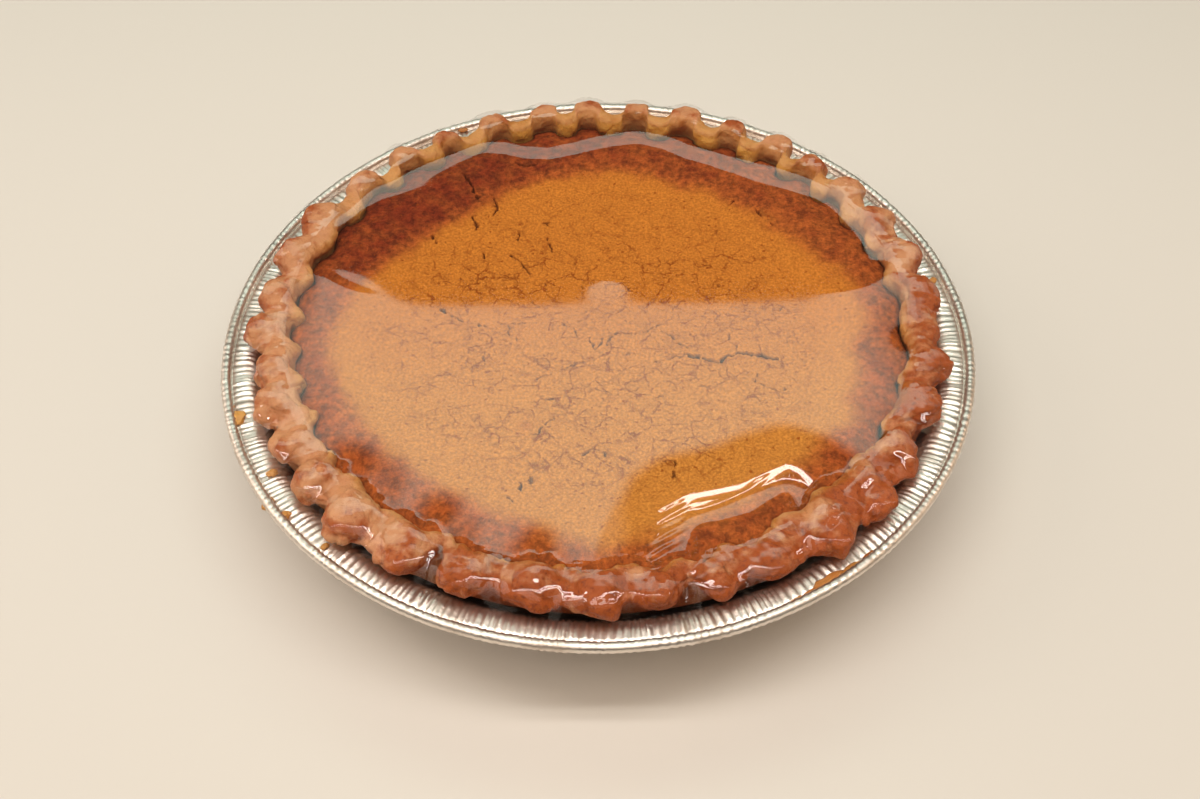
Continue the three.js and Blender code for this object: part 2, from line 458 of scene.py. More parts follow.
@dataclass(frozen=True)
class BakedPastry(Finish):
    """Baked shortcrust: a matt, faintly greasy dough, browned where it stands up to the heat.

    The dough stays pale and pinkish in the creases, eggy yellow on its steep inner faces, and
    orange-brown with darker freckles on the ridges. Painted shade darkens the recesses under
    the crests and the faces hidden inside the tin.
    """

    name: str = "baked_shortcrust_pastry"
    pale: str = "d59667"
    toasted: str = "ae5216"
    scorched: str = "7a3210"
    yolk: str = "dba040"
    # painted shade: the dark brown of the recesses under the crests
    recess: str = "5c3318"
    freckle_mm: float = 1.3
    blotch_mm: float = 4.2

    def shader(self, add: Adder) -> Node:
        """Draws the dough from pale to toasted, with painted shade in its recesses.

        Args:
            add: Adds a node to the material.

        Returns:
            The dough's shader.
        """
        place = add("TexCoord").outputs["Object"]
        toast, yolk, recess = (
            add("Attribute", {"attribute_name": name}).outputs["Fac"]
            for name in ("toast", "yolk", "recess"))
        blotch = add("TexNoise", inputs={
            "Vector": place, "Scale": tiles(self.blotch_mm), "Detail": 5.0, "Roughness": 0.62})
        sum_up = add("Math", TIMES_PLUS, {0: blotch, 1: 2.4, 2: toast})
        browned = add("MapRange", SMOOTH, {"Value": sum_up, "From Min": 1.15, "From Max": 2.15})
        colour = add("Mix", COLOUR_MIX, {
            "Factor": browned, "A": linear(self.pale), "B": linear(self.toasted)})
        freckle = add("TexNoise", inputs={
            "Vector": place, "Scale": tiles(self.freckle_mm), "Detail": 4.0, "Roughness": 0.7})
        spots = add("MapRange", inputs={
            "Value": freckle, "From Min": 0.52, "From Max": 0.67, "To Max": 0.8})
        spotted = add("Math", TIMES, {0: spots, 1: browned})
        scorched = add("Mix", COLOUR_MIX, {
            "Factor": spotted, "A": colour, "B": linear(self.scorched)})
        eggy = add("Mix", COLOUR_MIX, {"Factor": yolk, "A": scorched, "B": linear(self.yolk)})
        # painted shade darkens the recesses under the crests and the hidden faces
        shaded = add("Mix", COLOUR_MIX, {"Factor": recess, "A": eggy, "B": linear(self.recess)})
        relief = add("Math", TIMES_PLUS, {0: blotch, 1: 1.8, 2: freckle})
        bump = add("Bump", inputs={"Height": relief, "Strength": 0.9, "Distance": 0.65 * MM})
        dough = add("BsdfPrincipled", inputs={
            "Base Color": shaded, "Roughness": 0.55, "Specular IOR Level": 0.45, "Normal": bump,
            "Subsurface Weight": 0.12, "Subsurface Radius": (0.8, 0.35, 0.15),
            "Subsurface Scale": 1.2 * MM})
        return dough


@dataclass(frozen=True)
class BeanCustard(Finish):
    """Baked bean custard: a dry, fine-grained paste, orange in the middle and browned outside.

    Its skin is matt and sandy, with hairline cracks between islands a few millimetres across.
    Painted shade darkens its cracks, its pits and the gap by the crust.
    """

    name: str = "baked_bean_custard"
    flesh: str = "c07931"  # at the front, and a shade deeper at the back
    flesh_light: str = "cf8a3a"
    deeper: str = "ffeed0"
    browned: str = "ab5724"
    darkest: str = "7c2e14"
    fissure: str = "a04608"  # painted shade: light reaches into a hairline or a pit, and less into a wide crack or the gap
    crack: str = "552607"
    grain_mm: float = 0.85
    mottle_mm: float = 7.0
    island_mm: float = 7.0  # hairline cracks part the skin into islands of this size
    islet_mm: float = 3.4  # and fainter ones part those again
    pit_mm: float = 2.6
    pucker_mm: float = 2.4  # the browned ring dried into small puckers
    wander_mm: float = 1.7  # the cracks wander in bends of this size
    wander_by_mm: float = 2.6

    def shader(self, add: Adder) -> Node:
        """Draws the sandy skin, its browned ring, and its cracks and pits with painted shade in
        them.

        Args:
            add: Adds a node to the material.

        Returns:
            The custard's shader.
        """
        place = add("TexCoord").outputs["Object"]
        brown, crack, hair, back = (
            add("Attribute", {"attribute_name": name}).outputs["Fac"]
            for name in ("brown", "crack", "hairlines", "deepness"))
        grain = add("TexNoise", inputs={
            "Vector": place, "Scale": tiles(self.grain_mm), "Detail": 3.0, "Roughness": 0.7})
        mottle = add("TexNoise", inputs={
            "Vector": place, "Scale": tiles(self.mottle_mm), "Detail": 4.0, "Roughness": 0.6})
        sandy = add("MapRange", inputs={"Value": grain, "From Min": 0.32, "From Max": 0.66})
        flesh = add("Mix", COLOUR_MIX, {
            "Factor": sandy, "A": linear(self.flesh), "B": linear(self.flesh_light)})
        tinted = add("Mix", COLOUR_MIX | {"blend_type": "MULTIPLY"}, {
            "Factor": back, "A": flesh, "B": linear(self.deeper)})
        deep = add("Math", TIMES_PLUS, {0: mottle, 1: 0.9, 2: brown})
        deeper = add("MapRange", SMOOTH, {"Value": deep, "From Min": 1.0, "From Max": 1.6})
        rind = add("Mix", COLOUR_MIX, {
            "Factor": deeper, "A": linear(self.browned), "B": linear(self.darkest)})
        edge = add("Math", TIMES_PLUS, {0: mottle, 1: 0.5, 2: brown})
        share = add("MapRange", SMOOTH, {"Value": edge, "From Min": 0.28, "From Max": 0.95})
        skin = add("Mix", COLOUR_MIX, {"Factor": share, "A": tinted, "B": rind})
        specks = add("MapRange", inputs={
            "Value": grain, "From Min": 0.34, "From Max": 0.64, "To Min": 0.79, "To Max": 1.16})
        pucker = add("TexNoise", inputs={
            "Vector": place, "Scale": tiles(self.pucker_mm), "Detail": 4.0, "Roughness": 0.68})
        dips = add("MapRange", inputs={
            "Value": pucker, "From Min": 0.38, "From Max": 0.62, "To Min": -0.42, "To Max": 0.3})
        ring_shade = add("Math", TIMES_PLUS, {0: dips, 1: share, 2: 1.0})
        shade = add("Math", TIMES, {0: specks, 1: ring_shade})
        grainy = add("VectorMath", {"operation": "SCALE"}, {0: skin, "Scale": shade})
        warp = add("TexNoise", inputs={
            "Vector": place, "Scale": tiles(self.wander_mm), "Detail": 5.0, "Roughness": 0.75})
        warped = add("VectorMath", TIMES_PLUS, {
            0: warp.outputs["Color"], 1: (self.wander_by_mm * MM,) * 3, 2: place})
        islands = add("TexVoronoi", {"feature": "DISTANCE_TO_EDGE"}, {
            "Vector": warped, "Scale": tiles(self.island_mm)})
        line = add("MapRange", inputs={
            "Value": islands, "From Min": 0.01, "From Max": 0.036, "To Min": 0.95, "To Max": 0.0})
        islets = add("TexVoronoi", {"feature": "DISTANCE_TO_EDGE"}, {
            "Vector": warped, "Scale": tiles(self.islet_mm)})
        fine_line = add("MapRange", inputs={
            "Value": islets, "From Min": 0.015, "From Max": 0.055, "To Min": 0.45, "To Max": 0.0})
        broken = add("MapRange", inputs={"Value": pucker, "From Min": 0.43, "From Max": 0.51})
        both_lines = add("Math", {"operation": "MAXIMUM"}, {0: line, 1: fine_line})
        broken_lines = add("Math", TIMES, {0: both_lines, 1: broken})
        lines = add("Math", TIMES, {0: broken_lines, 1: hair})
        cells = add("TexVoronoi", {"feature": "F1"}, {
            "Vector": warped, "Scale": tiles(self.pit_mm)})
        pit = add("MapRange", inputs={
            "Value": cells, "From Min": 0.10, "From Max": 0.20, "To Min": 0.8, "To Max": 0.0})
        chosen = add("SeparateColor", inputs={"Color": cells.outputs["Color"]})
        some = add("Math", {"operation": "GREATER_THAN"}, {0: chosen.outputs["Red"], 1: 0.55})
        pits = add("Math", TIMES, {0: pit, 1: some})
        marks = add("Math", {"operation": "MAXIMUM"}, {0: lines, 1: pits})
        # painted shade: hairlines and pits, then open cracks and the gap by the crust, take darker
        # colours
        lined = add("Mix", COLOUR_MIX, {"Factor": marks, "A": grainy, "B": linear(self.fissure)})
        colour = add("Mix", COLOUR_MIX, {"Factor": crack, "A": lined, "B": linear(self.crack)})
        height = add("Math", TIMES_PLUS, {0: marks, 1: -0.9, 2: grain})
        puckered = add("Math", TIMES, {0: pucker, 1: share})
        relief = add("Math", TIMES_PLUS, {0: puckered, 1: 3.5, 2: height})
        bump = add("Bump", inputs={"Height": relief, "Strength": 0.85, "Distance": 0.35 * MM})
        custard = add("BsdfPrincipled", inputs={
            "Base Color": colour, "Roughness": 0.8, "Specular IOR Level": 0.12, "Normal": bump})
        return custard


@dataclass(frozen=True)
class StretchFilm(Finish):
    """Stretch film: clear thin plastic, drawn taut, that mirrors the lamps above it."""

    name: str = "clear_stretch_film"
    ior: float = 1.75  # both faces of the sheet mirror the lamps, drawn as one
    roughness: float = 0.045
    ripple_mm: float = 2.8  # where the sheet is pulled hard it ripples, attribute "ripple"
    ripple_depth_mm: float = 0.2
    ripple_degrees: float = -122.0
    crumple_mm: float = 6.0  # over the crust it is drawn into soft lumps, attribute "crumple"
    crumple_depth_mm: float = 0.9
    strongest: float = 0.32  # even at a glancing look the thin sheet lets most light through

    def shader(self, add: Adder) -> Node:
        """Draws a clear sheet with a mirror's share by Fresnel, on its outer face alone.

        Args:
            add: Adds a node to the material.

        Returns:
            The sheet's shader.
        """
        place = add("TexCoord").outputs["Object"]
        pulled, loose, crinkled = (
            add("Attribute", {"attribute_name": name}).outputs["Fac"]
            for name in ("ripple", "crumple", "dull"))
        turned = add("Mapping", inputs={
            "Vector": place, "Rotation": (0.0, 0.0, math.radians(self.ripple_degrees))})
        ripple = add("TexWave", inputs={
            "Vector": turned, "Scale": TAU / (20.0 * self.ripple_mm * MM), "Distortion": 0.6,
            "Detail": 1.0})
        height = add("Math", TIMES, {0: ripple.outputs["Fac"], 1: pulled})
        bump = add("Bump", inputs={
            "Height": height, "Strength": 1.0, "Distance": self.ripple_depth_mm * MM})
        folds = add("TexNoise", inputs={
            "Vector": place, "Scale": tiles(self.crumple_mm), "Detail": 1.0})
        lumpy = add("Math", TIMES, {0: folds, 1: loose})
        uneven = add("Bump", inputs={
            "Height": lumpy, "Strength": 1.0, "Distance": self.crumple_depth_mm * MM,
            "Normal": bump})
        fresnel = add("Fresnel", inputs={"IOR": self.ior})
        face = add("NewGeometry")
        outer = add("Math", {"operation": "SUBTRACT"}, {0: 1.0, 1: face.outputs["Backfacing"]})
        sheen = add("Math", {"operation": "SUBTRACT", "use_clamp": True}, {0: outer, 1: crinkled})
        share = add("Math", TIMES, {0: fresnel, 1: sheen})
        thin = add("Math", {"operation": "MINIMUM"}, {0: share, 1: self.strongest})
        clear = add("BsdfTransparent")
        gloss = add("BsdfGlossy", inputs={"Roughness": self.roughness, "Normal": uneven})
        sheet = add("MixShader", inputs={0: thin, 1: clear, 2: gloss})
        return sheet


@dataclass(frozen=True)
class BakedCrumb(Finish):
    """Crumbs and drips of dough and custard, baked hard on the foil."""

    name: str = "baked_crumbs"
    light: str = "d09a4c"
    dark: str = "a35a24"
    blotch_mm: float = 3.0

    def shader(self, add: Adder) -> Node:
        """Draws mottled baked dough.

        Args:
            add: Adds a node to the material.

        Returns:
            The crumbs' shader.
        """
        place = add("TexCoord").outputs["Object"]
        shade = add("Attribute", {"attribute_name": "toast"}).outputs["Fac"]
        blotch = add("TexNoise", inputs={
            "Vector": place, "Scale": tiles(self.blotch_mm), "Detail": 4.0})
        mixed = add("Math", TIMES_PLUS, {0: blotch, 1: 0.5, 2: shade})
        share = add("MapRange", inputs={"Value": mixed, "From Min": 0.15, "From Max": 1.1})
        colour = add("Mix", COLOUR_MIX, {
            "Factor": share, "A": linear(self.light), "B": linear(self.dark)})
        bump = add("Bump", inputs={"Height": blotch, "Strength": 0.6, "Distance": 0.3 * MM})
        crumb = add("BsdfPrincipled", inputs={
            "Base Color": colour, "Roughness": 0.6, "Normal": bump})
        return crumb


@dataclass(frozen=True)
class PaleFloor(Finish):
    """A plain pale studio floor."""

    name: str = "pale_floor"
    paint: str = "d9d4cd"

    def shader(self, add: Adder) -> Node:
        """Draws matt paint."""
        paint = add("BsdfDiffuse", inputs={"Color": linear(self.paint)})
        return paint


# ---- The crimped rim ----------------------------------------------------------------------


@dataclass(frozen=True)
class RopeSize:
    """The crimped rope's section: its edges, how far they sway, its top and a valley's drop."""

    inner: float
    outer: float
    inner_sway: float
    outer_sway: float
    crest: float
    drop: float


class Stray(NamedTuple):
    """A stretch where the rope strays from its ring: outwards by so much at each edge."""

    degrees: float
    half_width: float
    outer: float
    inner: float


class Rope(NamedTuple):
    """The rope at some angles: its edges, its top, and its place between crest and valley."""

    inner: np.ndarray
    outer: np.ndarray
    top: np.ndarray
    wave: np.ndarray


@dataclass
class RimPlan:
    """Where the crimps stand round the rim, as in the solids, with rounder crests and valleys."""

    boxiness: float = 0.42  # below 1, crests and valleys are broader than a plain wave's
    back: RopeSize = RopeSize(101.0, 108.5, 2.4, 2.3, 44.6, 2.7)
    front: RopeSize = RopeSize(99.0, 111.6, 1.5, 2.1, 43.7, 3.2)
    strays: tuple[Stray, ...] = (
        Stray(192, 4, -4, 0), Stray(204, 22, -0.8, -1.7), Stray(213.5, 2.5, -1.8, 0),
        Stray(235, 12, 2, 0), Stray(244.5, 1.6, -8, 0), Stray(283.5, 2.5, -3, 0),
        Stray(312, 14, 2.2, -2.2), Stray(330.5, 4, -4.4, 0), Stray(350.5, 2.5, -2.4, 0),
    )
    crest_degrees: tuple[float, ...] = (
        4, 14, 24, 33, 42, 51, 61, 71.5, 81.5, 92, 101, 111.5, 122, 132.5, 142, 154, 165, 174,
        184, 193, 202, 211, 220, 229, 239, 250, 260, 270, 279, 287, 296, 306, 316, 326, 337, 347,
    )

    def backness(self, angle: np.ndarray) -> np.ndarray:
        """Gives 1 at the back of the rim and 0 round the sides and front."""
        return smoothstep(np.sin(angle), 0.3, 0.75)

    def stray(self, angle: np.ndarray, edge: str) -> np.ndarray:
        """Adds up how far an edge strays.

        Args:
            angle: Directions round the axis.
            edge: "outer" or "inner".

        Returns:
            Millimetres outwards at each angle.
        """
        total = np.zeros_like(angle)
        for place in self.strays:
            away = np.abs(degrees_past(angle, place.degrees))
            total += getattr(place, edge) * np.exp(-((away / place.half_width) ** 2))
        return total

    def rope(self, angle: np.ndarray) -> Rope:
        """Works out the rope's section.

        Args:
            angle: Directions round the axis.

        Returns:
            The rope at those angles.
        """
        crests = np.array(self.crest_degrees)
        degrees = np.degrees(angle) % 360.0
        this = (np.searchsorted(crests, degrees, side="right") - 1) % len(crests)
        after = (this + 1) % len(crests)
        t = ((degrees - crests[this]) % 360.0) / ((crests[after] - crests[this]) % 360.0)
        t = t + 0.09 * chance(this, 3) * np.sin(math.pi * t) ** 2
        near = 0.5 + 0.5 * np.cos(math.pi * t)
        lift = 0.8 * lerp(chance(after, 1), chance(this, 1), near)
        reach = lerp(chance(after, 2), chance(this, 2), near)
        back = self.backness(angle)
        lump = 2.0 * np.abs(np.cos(math.pi * t)) - 1.0
        sway = np.cos(TAU * t)
        sway = np.sign(sway) * np.abs(sway) ** self.boxiness
        wave = lerp(lump, sway, 0.4 + 0.6 * back)

        def mix(key: str) -> np.ndarray:
            return lerp(getattr(self.front, key), getattr(self.back, key), back)

        inner = mix("inner") + mix("inner_sway") * wave + self.stray(angle, "inner")
        outer = mix("outer") + mix("outer_sway") * wave + reach + self.stray(angle, "outer")
        top = mix("crest") + lift - mix("drop") * (0.5 - 0.5 * wave)
        return Rope(inner, outer, top, wave)


# ---- Foil tin -----------------------------------------------------------------------------


class FoilPart(Enum):
    """The parts of the tin's section, each pleated in its own way."""

    FLOOR = "floor"
    WALL = "wall"
    FLANGE = "flange"
    BEAD = "bead"


@dataclass(frozen=True)
class Bead:
    """The rolled bead: the radius and height of its middle, and its own radius."""

    middle_r: float = 120.5
    middle_z: float = 33.3
    r: float = 1.5


@dataclass
class FoilTin:
    """The tin: a flat floor, a sloping pleated wall, a pleated flange and a rolled bead."""

    base_r: float = 91.0
    wall_top_r: float = 111.5
    wall_top_z: float = 31.2
    flange_r: float = 118.4
    flange_z: float = 32.4
    bead: Bead = Bead()
    foil: float = 0.12
    pleats: int = 352
    wall_pleat: float = 0.42
    flange_pleat: float = 0.44
    bead_notch: float = 0.13
    steps: int = 1400
    finish: PressedFoil = PressedFoil()

    def section(self) -> tuple[np.ndarray, list[FoilPart]]:
        """Lays out the sheet from the floor's edge to the inside of the bead.

        Returns:
            Radius and height of each point, and the part each belongs to.
        """
        rows = [(self.base_r - 2.0, 0.0, FoilPart.FLOOR), (self.base_r, 0.05, FoilPart.FLOOR)]
        rows += [(self.base_r + 1.9, 0.9, FoilPart.WALL), (self.base_r + 3.0, 3.0, FoilPart.WALL)]
        for share in np.linspace(0.15, 1.0, 7):
            r = lerp(self.base_r + 3.0, self.wall_top_r, share)
            rows.append((r, lerp(3.0, self.wall_top_z, share), FoilPart.WALL))
        for share in (0.1, 0.22, 0.4, 0.6, 0.8, 1.0):
            r = lerp(self.wall_top_r, self.flange_r, share)
            z = lerp(self.wall_top_z, self.flange_z, smoothstep(share, -0.1, 0.5))
            rows.append((r, float(z), FoilPart.FLANGE))
        rows.append((119.1, self.flange_z - 0.55, FoilPart.BEAD))
        for degrees in (205, 180, 150, 120, 90, 62, 34, 6, -24, -54, -90, -125):
            turn = math.radians(degrees)
            r = self.bead.middle_r + self.bead.r * math.cos(turn)
            rows.append((r, self.bead.middle_z + self.bead.r * math.sin(turn), FoilPart.BEAD))
        return np.array([row[:2] for row in rows]), [row[2] for row in rows]

    def pleat(self, angle: np.ndarray, waver: np.ndarray) -> np.ndarray:
        """Gives the pleats' height: no two are the same width or depth.

        Args:
            angle: Directions round the axis.
            waver: How far each point's pleat leans, in pleats.

        Returns:
            From -1 in a groove to 1 on a ridge.
        """
        random = np.random.default_rng(41)
        knots = np.concatenate([[0.0], np.cumsum(random.uniform(0.55, 1.45, self.pleats))])
        depth = random.uniform(0.35, 1.15, self.pleats)
        count = np.arange(self.pleats + 1)
        phase = np.interp(angle % TAU, knots / knots[-1] * TAU, count) + waver
        depth = np.interp(phase % self.pleats, count, np.append(depth, depth[0]))
        ridge = np.cos(TAU * phase)
        return depth * np.sign(ridge) * np.abs(ridge) ** 0.7

    def build(self) -> bpy.types.Object:
        """Models the tin.

        Returns:
            The finished piece.
        """
        section, parts = self.section()
        tin = spin_section("foil_tin", section, self.steps)
        row, angle = places_on(tin, section)
        part = np.array([p.value for p in parts])[row]
        radius, height = section[row, 0], section[row, 1]
        flat = polar(angle, radius, height)
        lumps = Unevenness(11)
        waver = 0.45 * lumps.at(flat, 7.0)
        pleat = self.pleat(angle, waver)
        wall = part == FoilPart.WALL.value
        flange = part == FoilPart.FLANGE.value
        bead = part == FoilPart.BEAD.value
        grown = smoothstep(height, 0.5, 6.0)
        radius = radius + np.where(wall, self.wall_pleat * pleat * grown, 0.0)
        fade = smoothstep(radius, self.flange_r + 0.2, self.flange_r - 2.5) * 0.75 + 0.25
        height = height + np.where(flange, self.flange_pleat * pleat * fade, 0.0)
        notch = self.pleat(angle, waver + 0.5) + 0.6 * lumps.at(flat, 1.3)
        outwards = polar(angle, radius - self.bead.middle_r, height - self.bead.middle_z)
        outwards /= self.bead.r
        crumple = 0.35 * lumps.rough(flat, 22.0, 2)
        points = polar(angle, radius, height)
        points[:, 2] += np.where(wall, 0.0, crumple) * smoothstep(height, 20.0, 30.0)
        points += np.where(bead, self.bead_notch * notch, 0.0)[:, None] * outwards
        write_points(tin, points)
        with editing(tin):
            bpy.ops.mesh.select_all(action="DESELECT")
            bpy.ops.mesh.select_mode(type="VERT")
        self.close_floor(tin)
        thicken(tin, self.foil)
        finish_piece(tin, self.finish, "tin")
        return tin

    def close_floor(self, tin: bpy.types.Object) -> None:
        """Fills the floor inside the first ring and turns the whole sheet to face down and out."""
        inside = np.hypot(*read_points(tin)[:, :2].T) < self.base_r - 1.0
        tin.data.vertices.foreach_set("select", inside)
        tin.data.update()
        with editing(tin):
            bpy.ops.mesh.edge_face_add()
            bpy.ops.mesh.inset(thickness=4.0 * MM)
            bpy.ops.mesh.select_all(action="SELECT")
            bpy.ops.mesh.normals_make_consistent(inside=False)


# ---- Crust --------------------------------------------------------------------------------


class Fold(NamedTuple):
    """A crease pressed across the rope: where it crosses each edge, how deep and how wide."""

    outer_degrees: float
    inner_degrees: float
    depth: float
    width: float


@dataclass
class CrimpedCrust:
    """The crust: a shell with a crimped rope round its top, browned and pressed by the film."""

    rim: RimPlan
    shell: float = 3.6
    foot_r: float = 88.8
    foot_z: float = 1.6
    floor_z: float = 1.0
    wall_top_r: float = 108.4
    wall_top_z: float = 30.2
    overhang_z: float = 34.7
    lip_r: float = 99.6
    lip_z: float = 33.0
    pressed_z: float = 44.4  # the film presses the tallest lumps flat near this height
    lumps: tuple[float, float] = (1.5, 1.05)  # height of the hands' lumps, front and back
    lump_mm: float = 8.5
    grit: float = 0.42
    grit_mm: float = 2.4
    seams: tuple[float, float] = (0.75, 0.3)  # depth of the wandering seams, front and back
    edge_lump_mm: float = 4.2
    steps: int = 1320
    rope_rows: int = 36
    mm_a_degree: float = 1.9  # along the rope
    folds: tuple[Fold, ...] = (
        Fold(168, 176, 0.9, 1.3), Fold(206, 198, 1.1, 1.2), Fold(224, 214, 1.0, 1.5),
        Fold(238, 231, 1.1, 1.6), Fold(252, 246, 0.8, 1.2), Fold(268, 262, 0.9, 1.4),
        Fold(292, 286, 1.2, 1.5), Fold(304, 299, 1.0, 1.4), Fold(311, 318, 1.2, 1.1),
        Fold(319, 323, 1.3, 1.2), Fold(333, 328, 1.0, 1.4), Fold(345, 341, 0.8, 1.2),
    )
    # paler at the back: partly the real crust's colour, partly painted light for the dimmer lamp
    # light there
    heat: tuple[tuple[float, float], ...] = (  # how toasted the rim is, by degrees
        (0, 0.55), (45, 0.15), (90, -0.1), (125, -0.1), (145, -0.2), (165, 0), (200, 0.1),
        (212, -0.3), (230, -0.3), (240, 0.35), (262, 0.9), (285, 0.8), (300, 0.65), (322, 0.75),
        (335, 0.8), (360, 0.55),
    )
    finish: BakedPastry = BakedPastry()

    def rows(self) -> tuple[np.ndarray, np.ndarray]:
        """Lays out a middling section for the spin: underside, wall, rope, inner wall, floor.

        Returns:
            Radius and height of each point, and the rope's turn at each, or NaN off the rope.
        """
        below = [(r, self.floor_z) for r in (0.0, 60.0, 87.0)] + [(self.foot_r, self.foot_z)]
        below += [(lerp(self.foot_r, self.wall_top_r, s), lerp(self.foot_z, self.wall_top_z, s))
                  for s in (0.12, 0.35, 0.6, 0.8, 0.93, 1.0)]
        turns = np.linspace(-55.0, 205.0, self.rope_rows)
        rope = [(104.0 + 4.5 * math.cos(math.radians(a)), 39.0 + 5.0 * math.sin(math.radians(a)))
                for a in turns]
        floor_top = self.floor_z + self.shell
        inside = [(self.lip_r, self.lip_z), (self.foot_r - self.shell, floor_top)]
        inside.append((0.0, floor_top))
        turn = [np.nan] * len(below) + list(turns) + [np.nan] * len(inside)
        return np.array(below + rope + inside), np.array(turn)

    def lay(self, row: np.ndarray, angle: np.ndarray) -> tuple[np.ndarray, dict]:
        """Puts each point of the spun ring on the crimped rope.

        Args:
            row: Each point's row on the section.
            angle: Each point's direction.

        Returns:
            The points, and what is known of each: its rope, its turn and its way in.
        """
        section, turns = self.rows()
        rope = self.rim.rope(angle)
        turn = np.radians(turns[row])
        on_rope = ~np.isnan(turn)
        turn = np.where(on_rope, turn, 0.0)
        middle = 0.5 * (rope.inner + rope.outer)
        half = 0.5 * (rope.outer - rope.inner)
        rise = rope.top - self.overhang_z
        across = np.sign(np.cos(turn)) * np.abs(np.cos(turn)) ** 0.8
        up = np.sign(np.sin(turn)) * np.abs(np.sin(turn)) ** 0.9
        radius = middle + half * across
        height = self.overhang_z + 0.40 * rise + np.where(up > 0, 0.60, 0.40) * rise * up
        inner_wall = row == len(section) - 3
        radius = np.where(on_rope, radius, section[row, 0])
        radius = np.where(inner_wall, rope.inner + 0.9, radius)
        height = np.where(on_rope, height, section[row, 1])
        facts = {"rope": rope, "turn": turn, "on_rope": on_rope, "across": across, "up": up}
        return polar(angle, radius, height), facts

    def crease(self, angle: np.ndarray, across: np.ndarray) -> np.ndarray:
        """Adds up how deep the folds are pressed.

        Args:
            angle: Each point's direction.
            across: 1 at the rope's outer edge and -1 at its inner one.

        Returns:
            Millimetres of depth at each point.
        """
        total = np.zeros_like(angle)
        for fold in self.folds:
            line = lerp(fold.inner_degrees, fold.outer_degrees, 0.5 + 0.5 * across)
            away = degrees_past(angle, line)
            off = away * self.mm_a_degree / fold.width
            step = np.exp(-np.abs(off)) * (away > 0)
            total += fold.depth * (np.exp(-(off**2)) + 0.5 * step)
        return total

    def build(self) -> bpy.types.Object:
        """Models the crust.

        Returns:
            The finished piece.
        """
        section, _ = self.rows()
        crust = spin_section("crimped_crust", section, self.steps)
        row, angle = places_on(crust, section)
        points, facts = self.lay(row, angle)
        write_points(crust, points)
        normals = read_normals(crust)
        lumps = Unevenness(23)
        back = self.rim.backness(angle)
        shape = lerp(*self.lumps, back) * lumps.rough(points, self.lump_mm, 2)
        shape += self.grit * lumps.rough(points, self.grit_mm, 3)
        shape -= self.crease(angle, facts["across"]) * (1.0 - 0.7 * back)
        wander = lumps.at(points + 70.0, 13.0) + 0.25 * lumps.at(points, 4.0)
        shape -= lerp(*self.seams, back) * np.exp(-((wander / 0.075) ** 2))
        edge = np.exp(-(((facts["turn"] + 0.15) / 0.5) ** 2))
        shape += edge * lumps.rough(points - 33.0, self.edge_lump_mm, 2)
        share = np.where(facts["on_rope"], smoothstep(facts["turn"], -0.9, -0.2), 0.0)
        points = points + normals * (shape * share)[:, None]
        ceiling = self.pressed_z + 0.35 * lumps.at(points, 13.0)
        over = points[:, 2] - ceiling
        points[:, 2] = np.where(over > -1.0, ceiling - 1.0 + np.tanh(over + 1.0), points[:, 2])
        write_points(crust, points)
        self.colour(crust, points, angle, facts, lumps)
        finish_piece(crust, self.finish, "crust")
        return crust

    def colour(
        self, crust: bpy.types.Object, points: np.ndarray, angle: np.ndarray, facts: dict,
        lumps: Unevenness,
    ) -> None:
        """Stores how toasted and how eggy each point is, and how much painted shade it takes.

        Args:
            crust: The piece.
            points: Its points.
            angle: Each point's direction.
            facts: What lay() knows of each point.
            lumps: The unevenness that the browning follows.
        """
        rope, turn, across = facts["rope"], facts["turn"], facts["across"]
        back = self.rim.backness(angle)
        degrees = np.degrees(angle) % 360.0
        toast = np.interp(degrees, *zip(*self.heat))
        toast += lerp(0.3, 0.2, back) * np.clip(rope.wave, 0, 1) * facts["up"] + 0.15 * across
        ragged = smoothstep(lumps.at(points + 20.0, 15.0), -0.35, 0.3) * (1.0 - back)
        toast += 0.55 * smoothstep(across, 0.3, 0.9) * ragged
        toast += 0.65 * lumps.rough(points + 50.0, 8.5, 3)
        inner_face = smoothstep(turn, 1.9, 2.7)
        valley = 0.5 - 0.5 * rope.wave
        yolk = inner_face * (0.35 + 0.65 * valley) * lerp(0.5, 0.95, back)
        yolk = np.maximum(yolk, 0.45 * back * smoothstep(valley, 0.35, 0.9))
        # painted shade in the recesses under the crests, and off the rope on the faces hidden in
        # the tin
        recess = smoothstep(turn, 2.6, 3.3) * (0.25 + 0.15 * (1.0 - valley) * back)
        recess = np.where(facts["on_rope"], recess, 0.6)
        store(crust, "toast", np.clip(toast, 0.0, 1.0))
        store(crust, "yolk", np.clip(yolk, 0.0, 1.0))
        store(crust, "recess", np.clip(recess, 0.0, 1.0))


# ---- Custard ------------------------------------------------------------------------------


class Crack(NamedTuple):
    """A crack in the custard's skin: its width and the points it runs through."""

    width: float
    path: tuple[tuple[float, float], ...]


